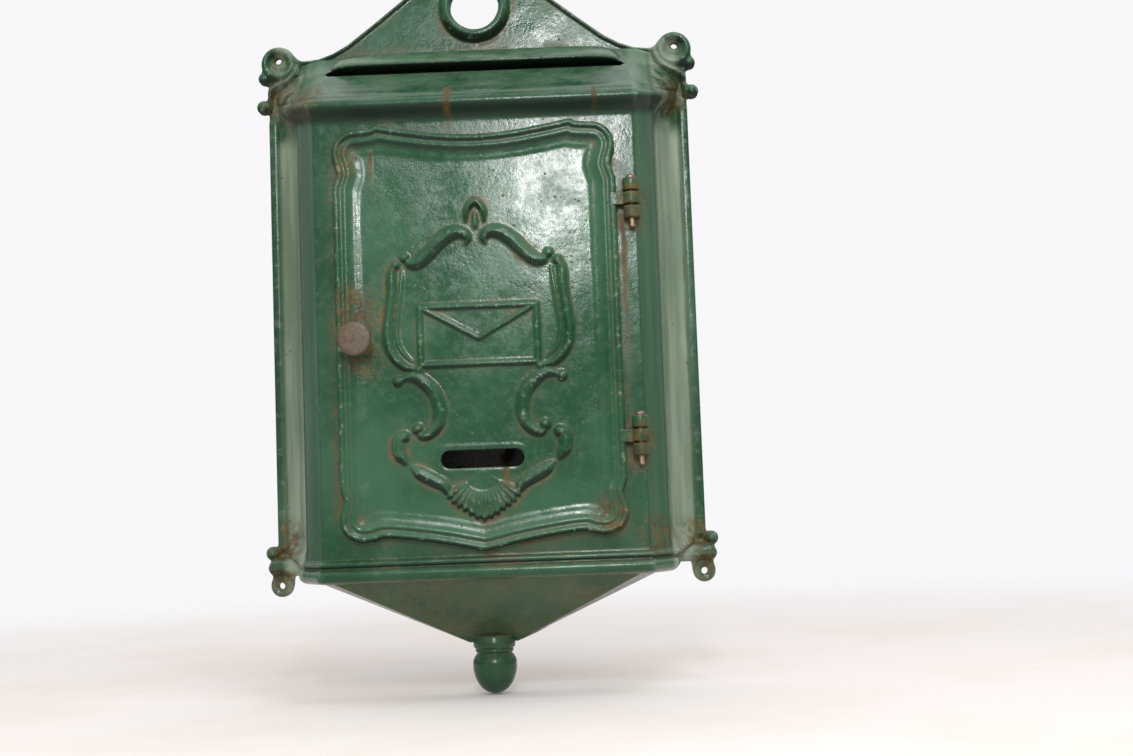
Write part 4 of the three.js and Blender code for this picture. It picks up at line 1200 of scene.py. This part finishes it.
def hinge_meshes(material):
    """Knuckles of the casting, two on each pin, and those of the door, one between them."""
    s = sizes()
    tree = knuckle_tree()
    pitch = s.knuckle + KNUCKLE_GAP * MM
    common = {"Length": s.knuckle, "Radius": s.knuckle_radius, "Bore": BORE * MM}
    fixed, swinging = [], []
    for middle in HINGE_Z:
        for name, meshes, count, first, start, size in (
            ("fixed", fixed, 2, middle * MM - pitch, (0.4, 3.6), (7.0, 4.0)),
            ("swinging", swinging, 1, middle * MM, (-6.3, 1.2), (8.4, 5.0)),
        ):
            meshes.append(knuckles(name, tree, material, **common, **{
                "Count": count, "First": first, "Pitch": 2 * pitch,
                "Arm Start": (start[0] * MM, start[1] * MM, 0.0),
                "Arm Size": (size[0] * MM, size[1] * MM, s.knuckle)}))
    return fixed, swinging


def placed(name, mesh, material, body, slot, *nodes):
    """Finished piece in its place on a body, standing for CAD nodes."""
    mesh.name = name
    piece = link_mesh(name, mesh)
    mesh.materials.clear()
    mesh.materials.append(bpy.data.materials[material])
    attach(piece, body)
    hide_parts(*nodes)
    return piece


# x, z and radius in metres
HINGE_STAINS = (
    (0.079, 0.047, 0.013), (0.079, 0.036, 0.011), (0.079, -0.073, 0.013), (0.078, -0.084, 0.010),
    (0.086, -0.122, 0.015), (-0.088, 0.108, 0.016), (-0.104, 0.118, 0.016), (0.104, 0.112, 0.014),
    (-0.108, -0.120, 0.016), (0.108, -0.124, 0.014), (-0.112, -0.137, 0.010), (0.112, -0.137, 0.010),
)
KNOB_STAINS = (
    (-0.063, -0.006, 0.021), (-0.058, -0.030, 0.015), (-0.068, 0.070, 0.014), (0.064, -0.112, 0.016),
)
# x, top, half width and length in metres
CORNICE_RUNS = (
    (-0.012, 0.110, 0.0032, 0.034), (-0.001, -0.114, 0.0022, 0.018), (0.062, 0.104, 0.002, 0.016),
    (0.0745, 0.036, 0.0022, 0.095),
)
SLOT_RUNS = ((0.012, -0.086, 0.003, 0.020), (-0.052, 0.074, 0.002, 0.024))
# Radius and distance from the wall along the knob, in millimetres
KNOB_PROFILE = (
    (0, 44.8), (2.4, 44.8), (2.9, 45.4), (2.9, 60.8), (4.6, 60.8), (4.5, 61.4), (4.2, 63.2), (4.0, 69.6),
    (4.5, 70.8), (5.6, 71.5), (7.6, 72.0), (8.3, 72.4), (8.6, 73.1), (8.6, 74.2), (8.3, 74.9), (7.6, 75.3),
    (6.4, 75.5), (3.0, 75.45), (0, 75.4),
)


# Operators

class FinishOperator(bpy.types.Operator):
    """Make the paint, rust and steel materials"""
    bl_idname = "mailbox.finishes"
    bl_label = "Finishes"

    def execute(self, context):
        c = tones()
        wear_group()
        rust_group()
        speck_group()
        # The frame's coat is evenly darkened by painted shade through depth, and its coves get dust with a
        # painted sheen
        green_paint("frame_paint", HINGE_STAINS, CORNICE_RUNS,
                    depth=0.13, hollow_dust_and_sheen=0.92, upward_dust=0.15, pitted=0.08)
        green_paint("door_paint", KNOB_STAINS, SLOT_RUNS,
                    depth=0.0, hollow_dust_and_sheen=0.0, upward_dust=0.16, pitted=0.55)
        rusty_metal("knob_iron", c.iron, rust_share=0.12, metallic=0.15, scale=180.0)
        rusty_metal("rusty_steel", [v * 0.6 for v in c.iron], rust_share=0.62, metallic=0.15, scale=260.0)
        rusty_metal("back_steel", c.steel, rust_share=0.20, metallic=0.5, scale=110.0)
        return {"FINISHED"}


class CastingOperator(bpy.types.Operator):
    """Cast the wall plate, ears, box walls, roof, hood, hopper and drop"""
    bl_idname = "mailbox.casting"
    bl_label = "Casting"

    def execute(self, context):
        plate = shape_plate()
        smooth_faces(plate, degrees=55)
        placed("wall_plate", plate, "frame_paint", "frame", "green_paint", "housing")
        placed("box_walls", shape_walls(), "frame_paint", "frame", "green_paint", "housing")
        return {"FINISHED"}


class DoorOperator(bpy.types.Operator):
    """Make the door with its rolled border, scrolls, shell and envelope"""
    bl_idname = "mailbox.door"
    bl_label = "Door"

    def execute(self, context):
        s = sizes()
        leaf = relief_solid("leaf", door_inside, door_height, DOOR_BACK, (-73, -129), (73, 91), s.cell / MM)
        smooth_faces(leaf, degrees=60)
        placed("door_leaf", leaf, "door_paint", "door", "green_paint", "door")
        return {"FINISHED"}


class HingeOperator(bpy.types.Operator):
    """Make the hinge knuckles of the casting and of the door"""
    bl_idname = "mailbox.hinges"
    bl_label = "Hinges"

    def execute(self, context):
        fixed, swinging = hinge_meshes(bpy.data.materials["frame_paint"])
        for name, meshes, body, node in (
            ("fixed_knuckles", fixed, "frame", "housing"), ("door_knuckles", swinging, "door", "door"),
        ):
            mesh = joined(name, meshes)
            tidy_mesh(mesh)
            smooth_faces(mesh, degrees=40)
            placed(name, mesh, "frame_paint", body, "green_paint", node)
        return {"FINISHED"}


class HardwareOperator(bpy.types.Operator):
    """Turn the knob and finish the latch, the pins, the back panel and its screws"""
    bl_idname = "mailbox.hardware"
    bl_label = "Knob, latch and back"

    def execute(self, context):
        mesh = turned("knob_turned", KNOB_PROFILE, KNOB, "Y", steps=72)
        smooth_faces(mesh, degrees=50)
        placed("knob_turned", mesh, "knob_iron", "latch", "rusty_iron", "knob")
        dressed = {
            "rusty_steel": ["hinge_pin_upper", "hinge_pin_lower", "latch_tongue", "latch_nut", "latch_spacer"]
            + [f"back_screw_{k}" for k in range(1, 5)],
            "back_steel": ["back_panel"],
        }
        for material, nodes in dressed.items():
            for node in nodes:
                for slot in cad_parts[node].material_slots:
                    slot.material = bpy.data.materials[material]
        return {"FINISHED"}


# Place in metres, and pitch, roll and yaw in radians
CAMERA_PLACE = (0.04857, -0.84204, -0.10790)
CAMERA_TURN = (0.083172, 0.037291, 0.007009)
# Gap under the box and reach of the floor in metres
FLOOR_GAP, FLOOR_REACH, FLOOR_SIDES = 0.0006, 1.6, 64
FLOOR_STAIN = (0.94, 0.90, 0.82)
# Name, place, height of the point that it faces, and size, in metres
LAMPS = (
    ("key", (0.044, -1.05, 0.330), 0.02, (0.10, 0.28)),
    ("fill", (-0.123, -1.05, 0.37), 0.02, (0.035, 0.06)),
    ("side", (0.38, -0.70, 1.05), 0.0, (0.5, 0.5)),
)


def camera_matrix():
    """Place and turn of the photo's camera, which looks along +Y when it isn't turned."""
    pitch, roll, yaw = CAMERA_TURN
    turn = Matrix.Rotation(yaw, 3, "Z") @ Matrix.Rotation(pitch, 3, "X") @ Matrix.Rotation(roll, 3, "Y")
    right, ahead, up = turn.col
    matrix = Matrix((right, up, -ahead)).transposed().to_4x4()
    matrix.translation = CAMERA_PLACE
    return matrix


def area_lamp(name, place, target, size, energy):
    """Upright rectangular lamp that faces a target."""
    lamp = bpy.data.lights.new(name, "AREA")
    lamp.shape = "RECTANGLE"
    lamp.size, lamp.size_y = size
    lamp.energy = energy
    piece = bpy.data.objects.new(name, lamp)
    bpy.context.scene.collection.objects.link(piece)
    piece.rotation_euler = (Vector(place) - Vector(target)).to_track_quat("Z", "Y").to_euler()
    piece.location = place


class StageOperator(bpy.types.Operator):
    """Set the camera, the soft lamps, the pale floor and the pale room"""
    bl_idname = "mailbox.stage"
    bl_label = "Stage"

    def execute(self, context):
        light = context.scene.mailbox_light
        context.scene.view_settings.view_transform = "Standard"
        camera = bpy.data.cameras.new("camera")
        camera.lens, camera.sensor_width = 50.0, 36.0
        camera.clip_start = 0.01
        eye = bpy.data.objects.new("camera", camera)
        eye.matrix_world = camera_matrix()
        context.scene.collection.objects.link(eye)
        context.scene.camera = eye
        for name, place, height, size in LAMPS:
            area_lamp(name, place, (0.0, -0.05, height), size, getattr(light, name))
        self.room(context.scene, light)
        self.floor(light)
        return {"FINISHED"}

    def room(self, scene, light):
        """Pale room: plain to the camera, and as light brighter above than at the sides."""
        scene.world = bpy.data.worlds.new("room")
        scene.world.use_nodes = True
        w = Weave(scene.world.node_tree)
        w.tree.nodes.clear()
        path = w.put("ShaderNodeLightPath").outputs
        seen = w.most(path["Is Camera Ray"], path["Is Transmission Ray"])
        parts = w.parts(w.place())
        above = w.span(parts["Z"], 0.0, 0.85, 0.31, 1.18)
        bright = w.plus(above, w.span(parts["Y"], -0.35, -1.0, 0.0, 0.55))
        glow = w.first("ShaderNodeBackground", {
            "Color": (1, 1, 1, 1), "Strength": w.times(bright, light.sky)})
        plain = w.first("ShaderNodeBackground", {"Color": rgba(light.backdrop), "Strength": 1.0})
        both = w.first("ShaderNodeMixShader", {0: seen, 1: glow, 2: plain})
        w.put("ShaderNodeOutputWorld", {0: both})

    def floor(self, light):
        """Pale floor that fades into the room."""
        low = CAD_BOX[0][2] - FLOOR_GAP
        points = [(x, y, low) for x, y in arc(0, 0, FLOOR_REACH, 0, 360, FLOOR_SIDES + 1)[:-1]]
        piece = link_mesh("floor", mesh_from("floor", points, [range(FLOOR_SIDES)]))
        w, surface, end = shader("floor")
        place = w.place()
        far = w.put("ShaderNodeVectorMath", {0: place}, operation="LENGTH").outputs["Value"]
        cloud = w.span(w.noise(place, 7.0, 5.0, 0.6), 0.42, 0.66, 0.0, 0.55)
        stained = rgba([v * k for v, k in zip(light.floor, FLOOR_STAIN)])
        w.link(w.blend(cloud, rgba(light.floor), stained), surface.inputs["Base Color"])
        surface.inputs["Roughness"].default_value = 0.75
        clear = w.first("ShaderNodeBsdfTransparent")
        fade = w.first("ShaderNodeMixShader", {0: w.span(far, 0.30, 1.15), 1: surface.outputs[0], 2: clear})
        w.link(fade, end.inputs["Surface"])
        piece.data.materials.append(bpy.data.materials["floor"])


class MailboxPanel(bpy.types.Panel):
    bl_label = "Mailbox"
    bl_idname = "MAILBOX_PT_tools"
    bl_space_type = "VIEW_3D"
    bl_region_type = "UI"
    bl_category = "Mailbox"

    def draw(self, context):
        column = self.layout.column()
        for operator in STEPS:
            column.operator(operator.bl_idname)
        for name in GROUPS:
            settings = getattr(context.scene, name)
            for key in settings.bl_rna.properties.keys():
                if key not in ("rna_type", "name"):
                    column.prop(settings, key)


GROUPS = {"mailbox_sizes": CastingSizes, "mailbox_colours": FinishColours, "mailbox_light": StudioLight}
STEPS = (StageOperator, FinishOperator, CastingOperator, DoorOperator, HingeOperator, HardwareOperator)


def register():
    for kind in (*GROUPS.values(), *STEPS, MailboxPanel):
        bpy.utils.register_class(kind)
    for name, kind in GROUPS.items():
        setattr(bpy.types.Scene, name, PointerProperty(type=kind))


def unregister():
    for name in GROUPS:
        delattr(bpy.types.Scene, name)
    for kind in reversed((*GROUPS.values(), *STEPS, MailboxPanel)):
        bpy.utils.unregister_class(kind)


def main():
    """Runs every step."""
    register()
    for step in STEPS:
        space, name = step.bl_idname.split(".")
        getattr(getattr(bpy.ops, space), name)()
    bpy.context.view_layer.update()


if __name__ == "__main__":
    main()
